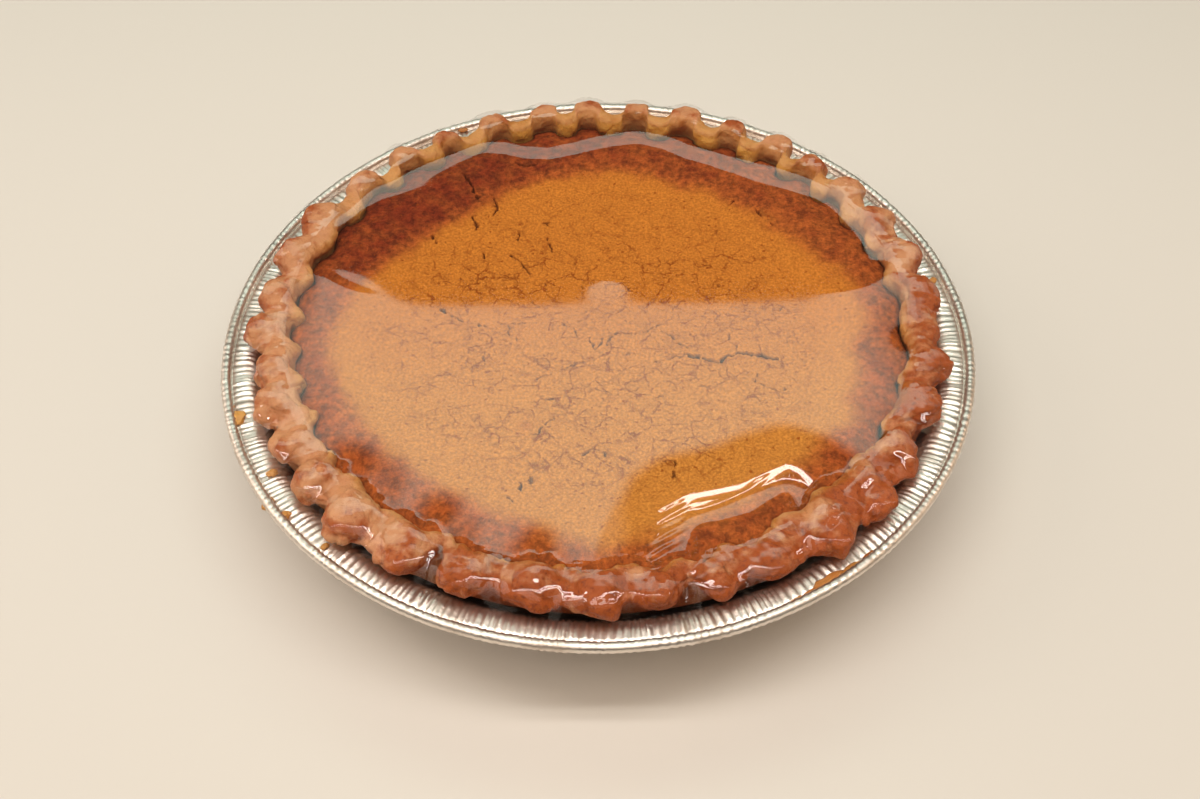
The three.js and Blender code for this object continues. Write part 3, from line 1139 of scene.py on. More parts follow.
@dataclass
class CustardFilling:
    """The filling: a sunken flat middle, a puffed browned ring, and cracks that dried open."""

    rim: RimPlan
    centre_z: float = 34.0
    swell_z: float = 37.6
    flat_r: float = 62.0
    swell_r: float = 91.0
    edge_drop: float = 1.7
    depth_z: float = 5.4
    stand_off: float = 0.75  # gap between the filling and the crust, darkened with painted shade
    ripple: float = 0.35
    lump_mm: float = 9.0
    grit_mm: float = 1.5
    cells: int = 236
    crack_depth: float = 1.3
    cracks: tuple[Crack, ...] = (
        Crack(1.5, ((-48.5, 73.5), (-47.0, 71.5), (-45.4, 67.0), (-43.1, 61.7))),
        Crack(1.1, ((-44.6, 54.0), (-43.8, 50.5), (-42.8, 47.6))),
        Crack(0.8, ((-37.4, 63.3), (-36.3, 58.0), (-37.4, 54.2))),
        Crack(0.9, ((-27.8, 45.6), (-28.3, 41.3))),
        Crack(1.5, ((-18.4, 50.6), (-17.6, 49.6))),
        Crack(0.8, ((-17.2, 42.2), (-16.6, 38.0), (-15.9, 35.0))),
        Crack(0.8, ((-58.1, 43.3), (-56.7, 39.1))),
        Crack(0.9, ((-40.2, 35.2), (-39.4, 32.2))),
        Crack(0.7, ((-30.5, 33.3), (-26.1, 29.4), (-24.1, 26.1), (-23.0, 23.5))),
        Crack(0.6, ((-46.9, 22.4), (-45.9, 20.5))),
        Crack(0.7, ((-30.4, 20.2), (-30.0, 18.8))),
        Crack(0.6, ((-23.3, 12.2), (-21.7, 9.4), (-19.4, 7.2))),
        Crack(0.5, ((-7.8, 28.9), (-6.7, 26.1))),
        Crack(0.5, ((-17.9, 19.4), (-17.2, 16.1))),
        Crack(0.9, ((-53.4, 8.0), (-52.0, 6.8), (-48.9, 4.4), (-44.4, 1.7))),
        Crack(0.8, ((-39.6, -0.6), (-36.7, -1.1))),
        Crack(0.5, ((-32.2, 0.6), (-29.4, 0.0), (-24.4, 0.3))),
        Crack(0.5, ((-29.4, 0.0), (-29.2, -5.5))),
        Crack(0.5, ((-26.9, -6.7), (-26.4, -10.0))),
        Crack(0.6, ((-12.2, -0.5), (-8.3, -2.0), (-7.0, -6.7))),
        Crack(0.5, ((-3.9, 5.0), (-6.1, 0.6))),
        Crack(0.7, ((2.8, -10.5), (6.1, -4.4), (13.9, -5.5), (16.7, -4.4), (18.3, -2.2),
                    (21.1, -1.1))),
        Crack(0.7, ((21.1, -4.4), (24.4, -6.7), (25.5, -9.4), (29.4, -11.7))),
        Crack(1.25, ((27.8, -15.0), (31.7, -15.5), (36.1, -17.8), (39.4, -18.3), (41.7, -15.5),
                     (45.0, -14.4), (52.8, -15.5), (57.2, -17.2))),
        Crack(0.5, ((17.5, -18.4), (21.1, -17.2), (28.3, -15.0))),
        Crack(0.5, ((45.5, -11.1), (45.0, -14.4))),
        Crack(0.6, ((43.3, -6.1), (42.8, -7.8))),
        Crack(0.5, ((63.3, -6.7), (61.1, -10.0))),
        Crack(0.7, ((50.5, -23.3), (49.4, -26.1), (54.4, -29.4), (56.7, -31.4), (58.9, -29.4))),
        Crack(0.7, ((-12.8, -40.0), (-17.2, -43.9), (-18.1, -47.2), (-21.1, -48.3))),
        Crack(0.8, ((-5.0, -55.5), (-2.2, -53.7), (0.5, -54.4), (2.2, -55.6))),
        Crack(1.2, ((-22.8, -66.5), (-22.7, -70.0))),
        Crack(0.7, ((-20.0, -64.4), (-19.8, -66.1))),
        Crack(1.0, ((-26.0, -72.4), (-25.0, -73.4))),
        Crack(0.5, ((-31.7, -55.0), (-30.0, -53.3))),
        Crack(0.7, ((18.9, -58.3), (22.8, -57.2), (22.6, -60.0), (22.2, -64.4))),
        Crack(0.8, ((-2.8, -6.1), (-1.1, -12.2), (1.7, -7.8))),
        Crack(0.5, ((-10.5, -20.5), (-6.1, -17.8), (-1.1, -16.1))),
        Crack(0.5, ((-19.4, -25.5), (-13.9, -21.1))),
        Crack(0.45, ((8.9, -18.0), (8.9, -14.4), (13.9, -14.1))),
        Crack(0.4, ((22.8, -26.0), (28.0, -23.0))),
        Crack(0.45, ((32.0, -28.3), (35.5, -28.0), (38.9, -26.7))),
        Crack(0.4, ((8.3, -31.0), (12.8, -29.4))),
        Crack(0.4, ((17.8, -33.3), (21.7, -32.8))),
        Crack(0.5, ((-36.7, -12.8), (-36.1, -18.3))),
        Crack(0.45, ((2.8, -33.9), (3.9, -30.5), (-0.5, -28.9))),
        Crack(0.6, ((-16.7, -33.3), (-14.4, -32.8))),
        Crack(0.5, ((-5.2, -26.7), (-5.2, -28.9))),
        Crack(0.8, ((47.2, 57.2), (50.0, 60.0))),
        Crack(0.5, ((42.2, 43.9), (42.8, 46.1))),
        Crack(0.5, ((21.1, 27.2), (21.9, 30.0))),
        Crack(0.6, ((11.7, 18.9), (10.5, 15.5))),
        Crack(0.5, ((-5.5, 17.8), (-5.2, 12.2))),
        Crack(0.7, ((61.9, 7.4), (59.4, 5.0))),
        Crack(1.2, ((-30.5, 81.7), (-26.1, 79.4), (-21.7, 80.5))),
        Crack(0.5, ((41.4, 17.8), (40.8, 15.5))),
        Crack(0.8, ((56.7, 54.4), (58.4, 51.0))),
        Crack(0.8, ((61.6, 47.6), (62.8, 45.5))),
    )
    browned: tuple[tuple[float, float, float], ...] = (  # degrees, where it starts, how scorched
        (0, 85, 0.1), (15, 82, 0.1), (30, 77, 0.15), (60, 74, 0.5), (90, 75, 0.65),
        (120, 72, 0.9), (135, 69, 1), (160, 76, 0.9), (180, 84, 0.15), (215, 83, 0.15),
        (250, 82, 0.2), (270, 88, 0.1), (290, 86, 0.1), (330, 84, 0.1), (360, 85, 0.1),
    )
    smooth_place: tuple[float, float] = (-22.0, -44.0)  # a small browned patch without cracks
    finish: BeanCustard = BeanCustard()

    def edge_r(self, angle: np.ndarray) -> np.ndarray:
        """Gives the filling's edge, just inside the crust's inner wall."""
        return self.rim.rope(angle).inner + 0.9 - self.stand_off

    def top(self, angle: np.ndarray, r: np.ndarray, edge_r: np.ndarray) -> np.ndarray:
        """Works out the height of the filling's skin.

        Args:
            angle: Directions round the axis.
            r: Distances from it.
            edge_r: The filling's edge in each direction.

        Returns:
            Heights in millimetres.
        """
        rise = smoothstep(r, self.flat_r, self.swell_r)
        fall = smoothstep(r, self.swell_r, edge_r)
        soft = np.sin(r * 0.11 + 2.0 * np.sin(angle)) * np.cos(3.0 * angle + r * 0.05)
        swell = (self.swell_z - self.centre_z) * rise
        return self.centre_z + swell - self.edge_drop * fall * fall + self.ripple * soft

    def near_crack(self, places: np.ndarray) -> tuple[np.ndarray, np.ndarray]:
        """Measures how deep inside a crack each place is, along ragged wandering lines.

        Args:
            places: x and y in millimetres, one row each.

        Returns:
            The distance to the nearest crack's edge, negative inside it, and its width.
        """
        wander = Unevenness(43)
        flat = np.column_stack([places, np.zeros(len(places))])
        bent = places + 0.6 * np.stack(
            [wander.rough(flat, 1.9, 3), wander.rough(flat + 55.0, 1.9, 3)], axis=1)
        uneven = np.clip(0.8 + 0.8 * wander.rough(flat + 91.0, 1.8, 2), 0.2, 1.8)
        best, width = np.full(len(places), 99.0), np.zeros(len(places))
        for crack in self.cracks:
            path = np.array(crack.path)
            for a, b in zip(path[:-1], path[1:]):
                away = distance_to(bent, a, b) - 0.5 * crack.width * uneven
                width = np.where(away < best, crack.width, width)
                best = np.minimum(best, away)
        return best, width

    def build(self) -> bpy.types.Object:
        """Models the filling.

        Returns:
            The finished piece.
        """
        deselect_all()
        bpy.ops.mesh.primitive_grid_add(
            x_subdivisions=self.cells, y_subdivisions=self.cells, size=2.0)
        filling = name_piece("custard_filling")
        square = read_points(filling) * MM
        u, v = square[:, 0], square[:, 1]
        x = u * np.sqrt(1.0 - v * v / 2.0)
        y = v * np.sqrt(1.0 - u * u / 2.0)
        angle = np.arctan2(y, x)
        radius = np.hypot(x, y) * lerp(98.5, self.edge_r(angle), np.hypot(x, y) ** 6)
        write_points(filling, polar(angle, radius, np.zeros_like(radius)))
        self.refine(filling)
        points = read_points(filling)
        angle, radius = around(points)
        edge = self.edge_r(angle)
        points[:, 2] = self.top(angle, radius, edge)
        lumps = Unevenness(37)
        ring = smoothstep(radius, self.flat_r, self.flat_r + 22.0)
        points[:, 2] += (0.10 + 0.32 * ring) * lumps.rough(points, self.lump_mm, 3)
        points[:, 2] += (0.08 + 0.1 * ring) * lumps.rough(points, self.grit_mm, 2)
        away, width = self.near_crack(points[:, :2])
        ragged = away + 0.3 * lumps.rough(points + 31.0, 1.0, 2)
        open_share = 1.0 - smoothstep(ragged, -0.26, 0.08)
        raised = np.exp(-((ragged - 0.5) ** 2) / 0.6) * (1.0 - open_share)
        broad = smoothstep(width, 0.3, 1.0)
        points[:, 2] += 0.1 * raised - self.crack_depth * open_share * lerp(0.4, 1.0, broad)
        write_points(filling, points)
        # painted shade inside the open cracks, deeper in the wide ones
        dark = open_share * lerp(0.5, 0.95, broad)
        self.colour(filling, points, angle, radius, edge, dark, lumps)
        self.close_under(filling)
        finish_piece(filling, self.finish, "filling")
        return filling

    def refine(self, filling: bpy.types.Object) -> None:
        """Cuts the grid finer along the cracks."""
        middles = np.zeros(len(filling.data.polygons) * 3)
        filling.data.polygons.foreach_get("center", middles)
        places = middles.reshape(-1, 3)[:, :2] / MM
        with editing(filling):
            bpy.ops.mesh.select_mode(type="FACE")
            bpy.ops.mesh.select_all(action="DESELECT")
            shape = bmesh.from_edit_mesh(filling.data)
            near = self.near_crack(places)[0] < 0.7
            for face, chosen in zip(shape.faces, near):
                face.select = bool(chosen)
            bmesh.update_edit_mesh(filling.data)
            bpy.ops.mesh.subdivide(number_cuts=3)
            bpy.ops.mesh.select_mode(type="VERT")

    def colour(
        self, filling: bpy.types.Object, points: np.ndarray, angle: np.ndarray,
        radius: np.ndarray, edge: np.ndarray, dark: np.ndarray, lumps: Unevenness,
    ) -> None:
        """Stores browning, painted shade in cracks and by the crust, and where hairlines show.

        Args:
            filling: The piece.
            points: Its points.
            angle: Each point's direction.
            radius: Its distance from the axis.
            edge: The filling's edge in its direction.
            dark: How much painted shade a crack holds there, from 0 to 1.
            lumps: The unevenness that the browning follows.
        """
        degrees = np.degrees(angle) % 360.0
        stops, starts, shares = zip(*self.browned)
        scorch = np.interp(degrees, stops, shares)
        ring = np.interp(degrees, stops, starts) + 3.6 * lumps.rough(points + 90.0, 15.0, 3)
        brown = 0.62 * smoothstep(radius, ring - 6.0, ring + 8.0)
        brown += 0.38 * scorch * smoothstep(radius, ring - 1.0, ring + 8.0)
        x, y = self.smooth_place
        smooth_patch = np.exp(-((points[:, 0] - x) ** 2 + (points[:, 1] - y) ** 2) / 10.0)
        brown += 0.32 * smooth_patch
        # painted shade in the gap between the filling and the crust, patchy along it
        gap = smoothstep(edge - radius, 1.6, 0.2)
        gap *= 0.35 + 0.65 * smoothstep(lumps.at(points + 61.0, 16.0), -0.25, 0.25)
        store(filling, "brown", brown)
        store(filling, "deepness", smoothstep(points[:, 1], -45.0, 15.0))
        store(filling, "crack", np.clip(np.maximum(dark, 0.85 * gap), 0.0, 1.0))
        patch = 0.68 + 1.0 * lumps.rough(points - 17.0, 5.0, 2) - smooth_patch
        middle = 1.0 - 0.85 * smoothstep(radius, 58.0, 80.0)
        middle *= 1.0 - 0.5 * smoothstep(points[:, 1], 20.0, 50.0)
        store(filling, "hairlines", np.clip(patch, 0.0, 1.0) * middle)

    def close_under(self, filling: bpy.types.Object) -> None:
        """Draws the skin's edge down to the crust's floor and closes the underside."""
        with editing(filling):
            bpy.ops.mesh.select_all(action="SELECT")
            bpy.ops.mesh.region_to_loop()
            for drop, share in ((1.6, 0.995), (3.0, 0.985), (24.0, 0.86)):
                move = {"value": (0.0, 0.0, -drop * MM)}
                bpy.ops.mesh.extrude_edges_move(TRANSFORM_OT_translate=move)
                bpy.ops.transform.resize(
                    value=(share, share, 1.0), center_override=(0.0, 0.0, 0.0))
            bpy.ops.transform.resize(
                value=(1.0, 1.0, 0.0), center_override=(0.0, 0.0, self.depth_z * MM))
            bpy.ops.mesh.edge_face_add()
            bpy.ops.mesh.select_all(action="SELECT")
            bpy.ops.mesh.normals_make_consistent(inside=False)


# ---- Film ---------------------------------------------------------------------------------


class Hollow(NamedTuple):
    """A place where the film sinks, or swells where the depth is below 0.

    It has a middle, a half-width each way, a turn and a depth.
    """

    x: float
    y: float
    long: float
    short: float
    degrees: float
    depth: float


@dataclass(frozen=True)
class Bay:
    """The bay at the front right, where the sheet dips before it meets the crust.

    Along its line the sheet tilts just enough to mirror the tube lamps as a long double glint.
    """

    line: tuple[tuple[float, float], ...] = (
        (14.5, -104), (15.3, -94.4), (17.5, -87.1), (20.6, -80.9), (24.5, -77.5), (32.3, -75.4),
        (40.6, -72.3), (46.6, -68.7), (54.8, -65.2), (58.4, -67.1), (61.4, -71.5), (64, -80),
        (74, -96),
    )
    far: tuple[float, ...] = (-15.0, -9.5, -6.0, -3.5, 0.0, 16.0, 20.0)
    slopes: tuple[float, ...] = (-0.5, -0.45, 0.0, 0.42, 0.335, 0.06, 0.0)
    eased: float = 0.28  # the sheet tilts less by this share at the bay's front left end
    eased_x: tuple[float, float] = (26.0, 17.0)
    eased_y: tuple[float, float] = (-76.0, -90.0)
    corner: tuple[float, float] = (-14.0, -116.0)
    size: tuple[float, float] = (112.0, 82.0)
    cell: float = 1.0

    def slope(self, places: np.ndarray) -> np.ndarray:
        """Works out how steeply the sheet falls towards the front.

        Args:
            places: x and y in millimetres, one row each.

        Returns:
            Millimetres down for each millimetre forwards.
        """
        away = np.full(len(places), 999.0)
        inside = np.zeros(len(places), dtype=bool)
        corners = np.array(self.line, dtype=float)
        for a, b in zip(corners, np.roll(corners, -1, axis=0)):
            if not np.array_equal(a, corners[-1]):
                away = np.minimum(away, distance_to(places, a, b))
            crosses = (a[1] > places[:, 1]) != (b[1] > places[:, 1])
            meet = a[0] + (b[0] - a[0]) * (places[:, 1] - a[1]) / (b[1] - a[1])
            inside ^= crosses & (places[:, 0] < meet)
        steep = np.interp(np.where(inside, -away, away), self.far, self.slopes)
        end = smoothstep(places[:, 1], *self.eased_y) * smoothstep(places[:, 0], *self.eased_x)
        return steep * (1.0 - self.eased * end)

    def depth(self, places: np.ndarray) -> np.ndarray:
        """Adds up the slope from the back of the bay forwards.

        Args:
            places: x and y in millimetres, one row each.

        Returns:
            Millimetres of depth at each place.
        """
        across = np.arange(0.0, self.size[0], self.cell)
        forwards = np.arange(0.0, self.size[1], self.cell)
        x, y = np.meshgrid(self.corner[0] + across, self.corner[1] + self.size[1] - forwards)
        grid = self.slope(np.stack([x.ravel(), y.ravel()], axis=1)).reshape(x.shape)
        fallen = np.maximum(np.cumsum(grid, axis=0) * self.cell, 0.0)
        column = np.clip((places[:, 0] - self.corner[0]) / self.cell, 0.0, x.shape[1] - 1.001)
        row = np.clip(
            (self.corner[1] + self.size[1] - places[:, 1]) / self.cell, 0.0, x.shape[0] - 1.001)
        c, r = column.astype(int), row.astype(int)
        upper = lerp(fallen[r, c], fallen[r, c + 1], column - c)
        lower = lerp(fallen[r + 1, c], fallen[r + 1, c + 1], column - c)
        return lerp(upper, lower, row - r)


@dataclass(frozen=True)
class Streak:
    """A step where the sheet climbs to the back crests; it mirrors the lamp as a long streak."""

    path: tuple[tuple[float, float], ...] = (
        (39.5, 93.9), (48.6, 87.3), (56.6, 84.8), (66.8, 84.3), (73.8, 87.1), (80.1, 88.0),
        (89.1, 83.9), (95.6, 80.8), (102.4, 79.4), (108.6, 82.5), (113.0, 88.0), (117.4, 91.8),
        (125.8, 91.3), (132.2, 92.3),
    )
    rise: float = 0.6
    half_width: float = 3.0
    begins: tuple[float, float] = (34.0, 44.0)  # it fades in and out between these degrees
    ends: tuple[float, float] = (130.0, 140.0)
    lost_r: tuple[float, float] = (93.0, 101.0)  # and outwards, where the crests hold the sheet

    def climb(self, angle: np.ndarray, radius: np.ndarray) -> np.ndarray:
        """Works out how far the sheet has climbed.

        Args:
            angle: Directions round the axis, from 0 to a full turn.
            radius: Distances from it.

        Returns:
            Millimetres at each place.
        """
        degrees = np.degrees(angle)
        middle = np.interp(degrees, [p[0] for p in self.path], [p[1] for p in self.path])
        shown = smoothstep(degrees, *self.begins) * (1.0 - smoothstep(degrees, *self.ends))
        step = smoothstep(radius - middle, -self.half_width, self.half_width)
        return self.rise * step * shown * (1.0 - smoothstep(radius, *self.lost_r))


@dataclass
class ClearFilm:
    """The film: a taut sheet that lies on the crimps' crests and is tucked under the bead."""

    rim: RimPlan
    bead: Bead = Bead()
    skin: float = 0.06
    lift: float = 0.32
    level_z: float = 43.1  # the taut middle lies level at this height
    level_r: float = 70.0  # as far as this, and further at the sides
    side_level_r: float = 93.5
    side_begins: tuple[float, float] = (0.05, 0.2)  # a side lies between these sines
    side_ends: tuple[float, float] = (0.5, 0.88)
    crest_r: float = 100.0
    lowest_z: float = 38.3
    steps: int = 600
    rounds: int = 1500
    tuck: float = 2.6
    hollows: tuple[Hollow, ...] = (
        Hollow(3.0, 11.5, 6.0, 6.0, 0.0, -0.2),
        Hollow(-90.0, 13.0, 12.8, 23.4, 0.0, -1.23),
        Hollow(-95.0, 20.7, 13.0, 18.1, 0.0, -1.14),
        Hollow(108.0, 28.0, 28.0, 22.0, 0.0, -0.4),
        Hollow(-71.0, -71.0, 16.0, 11.0, -42.0, 2.7),
        Hollow(-45.0, -90.0, 11.0, 13.0, -30.0, 2.1),
        Hollow(-17.0, -102.0, 7.5, 12.0, -5.0, 2.1),
    )
    bay: Bay = Bay()
    streak: Streak = Streak()
    rippled_line: tuple[tuple[float, float], ...] = ((14.8, -99.0), (20.8, -81.0))
    rippled_width: float = 4.0
    rippled_spot: tuple[float, float] = (47.0, -70.0)
    finish: StretchFilm = StretchFilm()

    def row_radii(self) -> np.ndarray:
        """Lays out the sheet's rings, from the middle to the top of the bead."""
        inside = [0.0, 2.5, 5.0, 7.5, 10.0, 12.5, 15.5, 19.0, 24.0, 30.0, 36.0, 42.0, 47.0]
        middle = np.concatenate([np.arange(51.0, 70.0, 2.2), np.arange(70.0, 92.0, 1.1)])
        outside = np.linspace(92.6, self.bead.middle_r, 28)
        return np.concatenate([inside, middle, outside])

    def section(self) -> np.ndarray:
        """Lays out the whole section: the sheet, then its turn round and under the bead."""
        radii = self.row_radii()
        sheet = np.stack([radii, 44.0 - 9.0 * smoothstep(radii, 105.0, 120.5)], axis=1)
        grip = self.bead.r + 0.3
        turns = np.radians([60, 30, 0, -30, -60, -90])
        round_bead = grip * np.stack([np.cos(turns), np.sin(turns)], axis=1)
        round_bead += (self.bead.middle_r, self.bead.middle_z)
        hem = [(self.bead.middle_r - self.tuck * 0.5, self.bead.middle_z - grip + 0.1),
               (self.bead.middle_r - self.tuck, self.bead.middle_z - grip + 0.3)]
        return np.concatenate([sheet, round_bead, hem])

    def column(self, angle: np.ndarray) -> np.ndarray:
        """Numbers the step round the sheet that each direction falls in."""
        return np.round(angle % TAU / TAU * self.steps).astype(int) % self.steps

    def support(self, radii: np.ndarray, pieces: list[bpy.types.Object]) -> np.ndarray:
        """Finds the highest thing under each place of the sheet.

        Args:
            radii: The sheet's rings.
            pieces: What the film can rest on.

        Returns:
            Heights, one row for each ring and one column for each step round it.
        """
        floor = np.full((len(radii), self.steps), 30.0)
        floor[radii < self.crest_r] = self.lowest_z - self.lift
        for piece in pieces:
            points = read_points(piece)
            angle, radius = around(points)
            first = int(np.searchsorted(radii, 80.0))
            ring = np.abs(radius[:, None] - radii[None, first:]).argmin(axis=1) + first
            keep = radius > radii[first] - 0.5
            column = self.column(angle)
            np.maximum.at(floor, (ring[keep], column[keep]), points[keep, 2])
        bare = floor.copy()
        for _ in range(4):  # the sheet bridges small dips between the bumps
            wide = np.maximum(np.roll(floor, 1, axis=1), np.roll(floor, -1, axis=1))
            wide[1:-1] = np.maximum(wide[1:-1], np.maximum(floor[2:], floor[:-2]))
            floor = np.maximum(floor, wide - 0.16)
        held = bare > 38.0
        held |= np.roll(held, 1, axis=1) | np.roll(held, -1, axis=1)
        return np.where(held, self.ease(floor, 4), bare) + self.lift

    def ease(self, sheet: np.ndarray, rounds: int) -> np.ndarray:
        """Evens out a grid of heights, leaving its first and last ring.

        Args:
            sheet: Heights, one row for each ring.
            rounds: How many times each height moves towards its neighbours'.

        Returns:
            The eased heights.
        """
        for _ in range(rounds):
            beside = np.roll(sheet, 1, axis=1) + np.roll(sheet, -1, axis=1)
            eased = sheet.copy()
            eased[1:-1] = 0.5 * sheet[1:-1] + 0.125 * (beside[1:-1] + sheet[2:] + sheet[:-2])
            sheet = eased
        return sheet

    def stretch(self, radii: np.ndarray, floor: np.ndarray) -> np.ndarray:
        """Relaxes a taut sheet over what holds it up.

        Args:
            radii: The sheet's rings.
            floor: The lowest it may lie at each place.

        Returns:
            Its heights, one row for each ring.
        """
        rim_z = self.bead.middle_z + self.bead.r + 0.3
        crest = floor.max(axis=0).mean()
        sheet = np.broadcast_to(
            crest - 9.0 * smoothstep(radii, 106.0, 120.5)[:, None], floor.shape).copy()
        turn = TAU / self.steps
        gaps = np.diff(radii)
        between = 0.5 * (radii[1:] + radii[:-1])
        outwards = between * turn / gaps
        cell = np.diff(np.concatenate([[radii[0]], between, [radii[-1]]]))
        round_ring = cell / (np.maximum(radii, 0.5) * turn)
        push_in = outwards[:-1, None]
        push_out = outwards[1:, None]
        push_round = round_ring[1:-1, None]
        total = push_in + push_out + 2.0 * push_round
        for _ in range(self.rounds):
            sheet[0] = sheet[1].mean()
            inner = sheet[1:-1]
            pulled = push_in * sheet[:-2] + push_out * sheet[2:]
            pulled += push_round * (np.roll(inner, 1, axis=1) + np.roll(inner, -1, axis=1))
            sheet[1:-1] = np.maximum(pulled / total, floor[1:-1])
            sheet[-1] = rim_z
        return sheet

    def build(self, pieces: list[bpy.types.Object]) -> bpy.types.Object:
        """Models the film.

        Args:
            pieces: What the film lies on.

        Returns:
            The finished piece.
        """
        radii = self.row_radii()
        floor = self.support(radii, pieces)
        sheet = self.stretch(radii, floor)
        section = self.section()
        film = spin_section("clear_film", section, self.steps)
        row, angle = places_on(film, section)
        points = polar(angle, section[row, 0], section[row, 1])
        on_sheet = row < len(radii)
        ring = np.minimum(row, len(radii) - 1)
        height = self.shape(radii, floor, sheet)[ring, self.column(angle)]
        radius = section[row, 0]
        lumps = Unevenness(53)
        slope = smoothstep(radius, 104.0, 110.0) * smoothstep(radius, 120.4, 117.0)
        wrinkle = np.sin(260.0 * angle + 5.0 * lumps.at(points, 18.0)) * lumps.at(points, 15.0)
        height += slope * 0.12 * wrinkle
        points[:, 2] = np.where(on_sheet, height, points[:, 2])
        write_points(film, points)
        leg = distance_to(points[:, :2], *np.array(self.rippled_line))
        pulled = np.exp(-((leg / self.rippled_width) ** 2))
        x, y = self.rippled_spot
        pulled += 0.3 * np.exp(-((points[:, 0] - x) ** 2 + (points[:, 1] - y) ** 2) / 14.0)
        store(film, "ripple", pulled)
        drawn = smoothstep(radius, 99.5, 103.5) * (1.0 - 0.6 * self.rim.backness(angle))
        store(film, "crumple", drawn)
        store(film, "dull", 0.8 * smoothstep(radius, 109.0, 113.5))
        thicken(film, self.skin)
        finish_piece(film, self.finish, "film")
        return film

    def shape(self, radii: np.ndarray, floor: np.ndarray, sheet: np.ndarray) -> np.ndarray:
        """Levels the taut middle and lets it dip and climb where the real one does.

        Args:
            radii: The sheet's rings.
            floor: The lowest it may lie at each place.
            sheet: Its relaxed heights.

        Returns:
            The final heights, one row for each ring.
        """
        radius = np.broadcast_to(radii[:, None], sheet.shape)
        angle = np.broadcast_to(np.arange(self.steps) / self.steps * TAU, sheet.shape)
        sine = np.sin(angle)
        side = smoothstep(sine, *self.side_begins) * (1.0 - smoothstep(sine, *self.side_ends))
        level_r = lerp(self.level_r, self.side_level_r, side)
        share = smoothstep((radius - level_r) / (self.crest_r - level_r), 0.0, 1.0)
        height = lerp(self.level_z, sheet, share) + self.streak.climb(angle, radius)
        places = polar(angle.ravel(), radius.ravel(), np.zeros(sheet.size))[:, :2]
        height = np.where(radius < self.crest_r, self.ease(height, 4), height)
        height -= (self.bay.depth(places) + self.sink(places)).reshape(sheet.shape)
        return np.maximum(height, np.where(radius > 90.0, floor, self.lowest_z))

    def sink(self, places: np.ndarray) -> np.ndarray:
        """Adds up how deep the hollows are.

        Args:
            places: x and y in millimetres, one row each.

        Returns:
            Millimetres of depth at each place.
        """
        total = np.zeros(len(places))
        for hollow in self.hollows:
            turn = math.radians(hollow.degrees)
            x, y = places[:, 0] - hollow.x, places[:, 1] - hollow.y
            along = (x * math.cos(turn) + y * math.sin(turn)) / hollow.long
            aside = (y * math.cos(turn) - x * math.sin(turn)) / hollow.short
            total += hollow.depth * np.exp(-((along**2 + aside**2) ** 0.85))
        return total


# ---- Crumbs -------------------------------------------------------------------------------


class Crumb(NamedTuple):
    """A crumb or drip on the foil: its middle, its size each way, its turn and how browned."""

    x: float
    y: float
    z: float
    long: float
    wide: float
    tall: float
    degrees: float
    toast: float


@dataclass
class FoilCrumbs:
    """Crumbs of dough and baked-on drips on the flange and the bead."""

    crumbs: tuple[Crumb, ...] = (
        Crumb(-112.0, -39.0, 32.9, 2.8, 2.2, 1.0, 20, 0.0),
        Crumb(-114.6, -34.5, 32.8, 1.0, 0.8, 0.5, 70, 0.1),
        Crumb(-97.5, -60.5, 32.9, 1.6, 1.2, 0.7, 30, 0.15),
        Crumb(-97.0, -72.0, 33.0, 1.9, 1.3, 0.8, 60, 0.2),
        Crumb(-91.0, -76.0, 33.0, 1.5, 1.2, 0.8, 10, 0.25),
        Crumb(-78.0, -87.0, 33.0, 1.3, 1.0, 0.6, 45, 0.2),
        Crumb(-52.0, 107.0, 33.1, 1.8, 1.3, 0.8, 0, 0.6),
        Crumb(-44.0, 112.5, 33.1, 1.3, 1.0, 0.7, 20, 0.5),
        Crumb(110.0, -50.0, 33.0, 1.7, 1.0, 0.5, 60, 0.2),
        Crumb(114.5, 20.0, 33.0, 1.4, 1.1, 0.6, 80, 0.35),
        Crumb(63.5, -100.5, 32.8, 5.5, 2.0, 0.7, 30, 0.55),
        Crumb(70.5, -96.5, 32.8, 4.5, 1.7, 0.6, 38, 0.45),
        Crumb(60.0, -103.5, 32.9, 3.5, 1.6, 0.6, 24, 0.7),
        Crumb(76.5, -92.0, 32.9, 2.6, 1.4, 0.6, 42, 0.8),
        Crumb(55.0, -106.0, 32.9, 3.2, 1.3, 0.5, 20, 0.35),
    )
    finish: BakedCrumb = BakedCrumb()

    def build(self) -> bpy.types.Object:
        """Models the crumbs as one piece.

        Returns:
            The finished piece.
        """
        lumps = Unevenness(71)
        made = []
        for index, crumb in enumerate(self.crumbs):
            deselect_all()
            bpy.ops.mesh.primitive_ico_sphere_add(subdivisions=4, radius=MM)
            lump = name_piece(f"crumb_{index}")
            points = read_points(lump)
            points *= 1.0 + 0.34 * lumps.rough(points * 3.0 + 19.0 * index, 2.4, 3)[:, None]
            points *= (crumb.long, crumb.wide, crumb.tall)
            turn = Matrix.Rotation(math.radians(crumb.degrees), 3, "Z")
            points = points @ np.array(turn).T + (crumb.x, crumb.y, crumb.z)
            write_points(lump, points)
            store(lump, "toast", np.full(len(points), crumb.toast))
            made.append(lump)
        deselect_all()
        for lump in made:
            lump.select_set(True)
        bpy.context.view_layer.objects.active = made[0]
        bpy.ops.object.join()
        piece = name_piece("foil_crumbs")
        bpy.ops.object.shade_smooth()
        piece.data.materials.append(self.finish.material())
        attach(piece, "root")
        return piece


# ---- Studio -------------------------------------------------------------------------------


class Facing(Enum):
    """Which way a lamp faces."""

    DOWN = "down"
    PIE = "pie"


class Lamp(NamedTuple):
    """A soft box or strip lamp: its middle, its sides, its light, its colour, and its facing."""

    name: str
    place: tuple[float, float, float]
    size: tuple[float, float]
    radiance: float
    colour: str
    facing: Facing


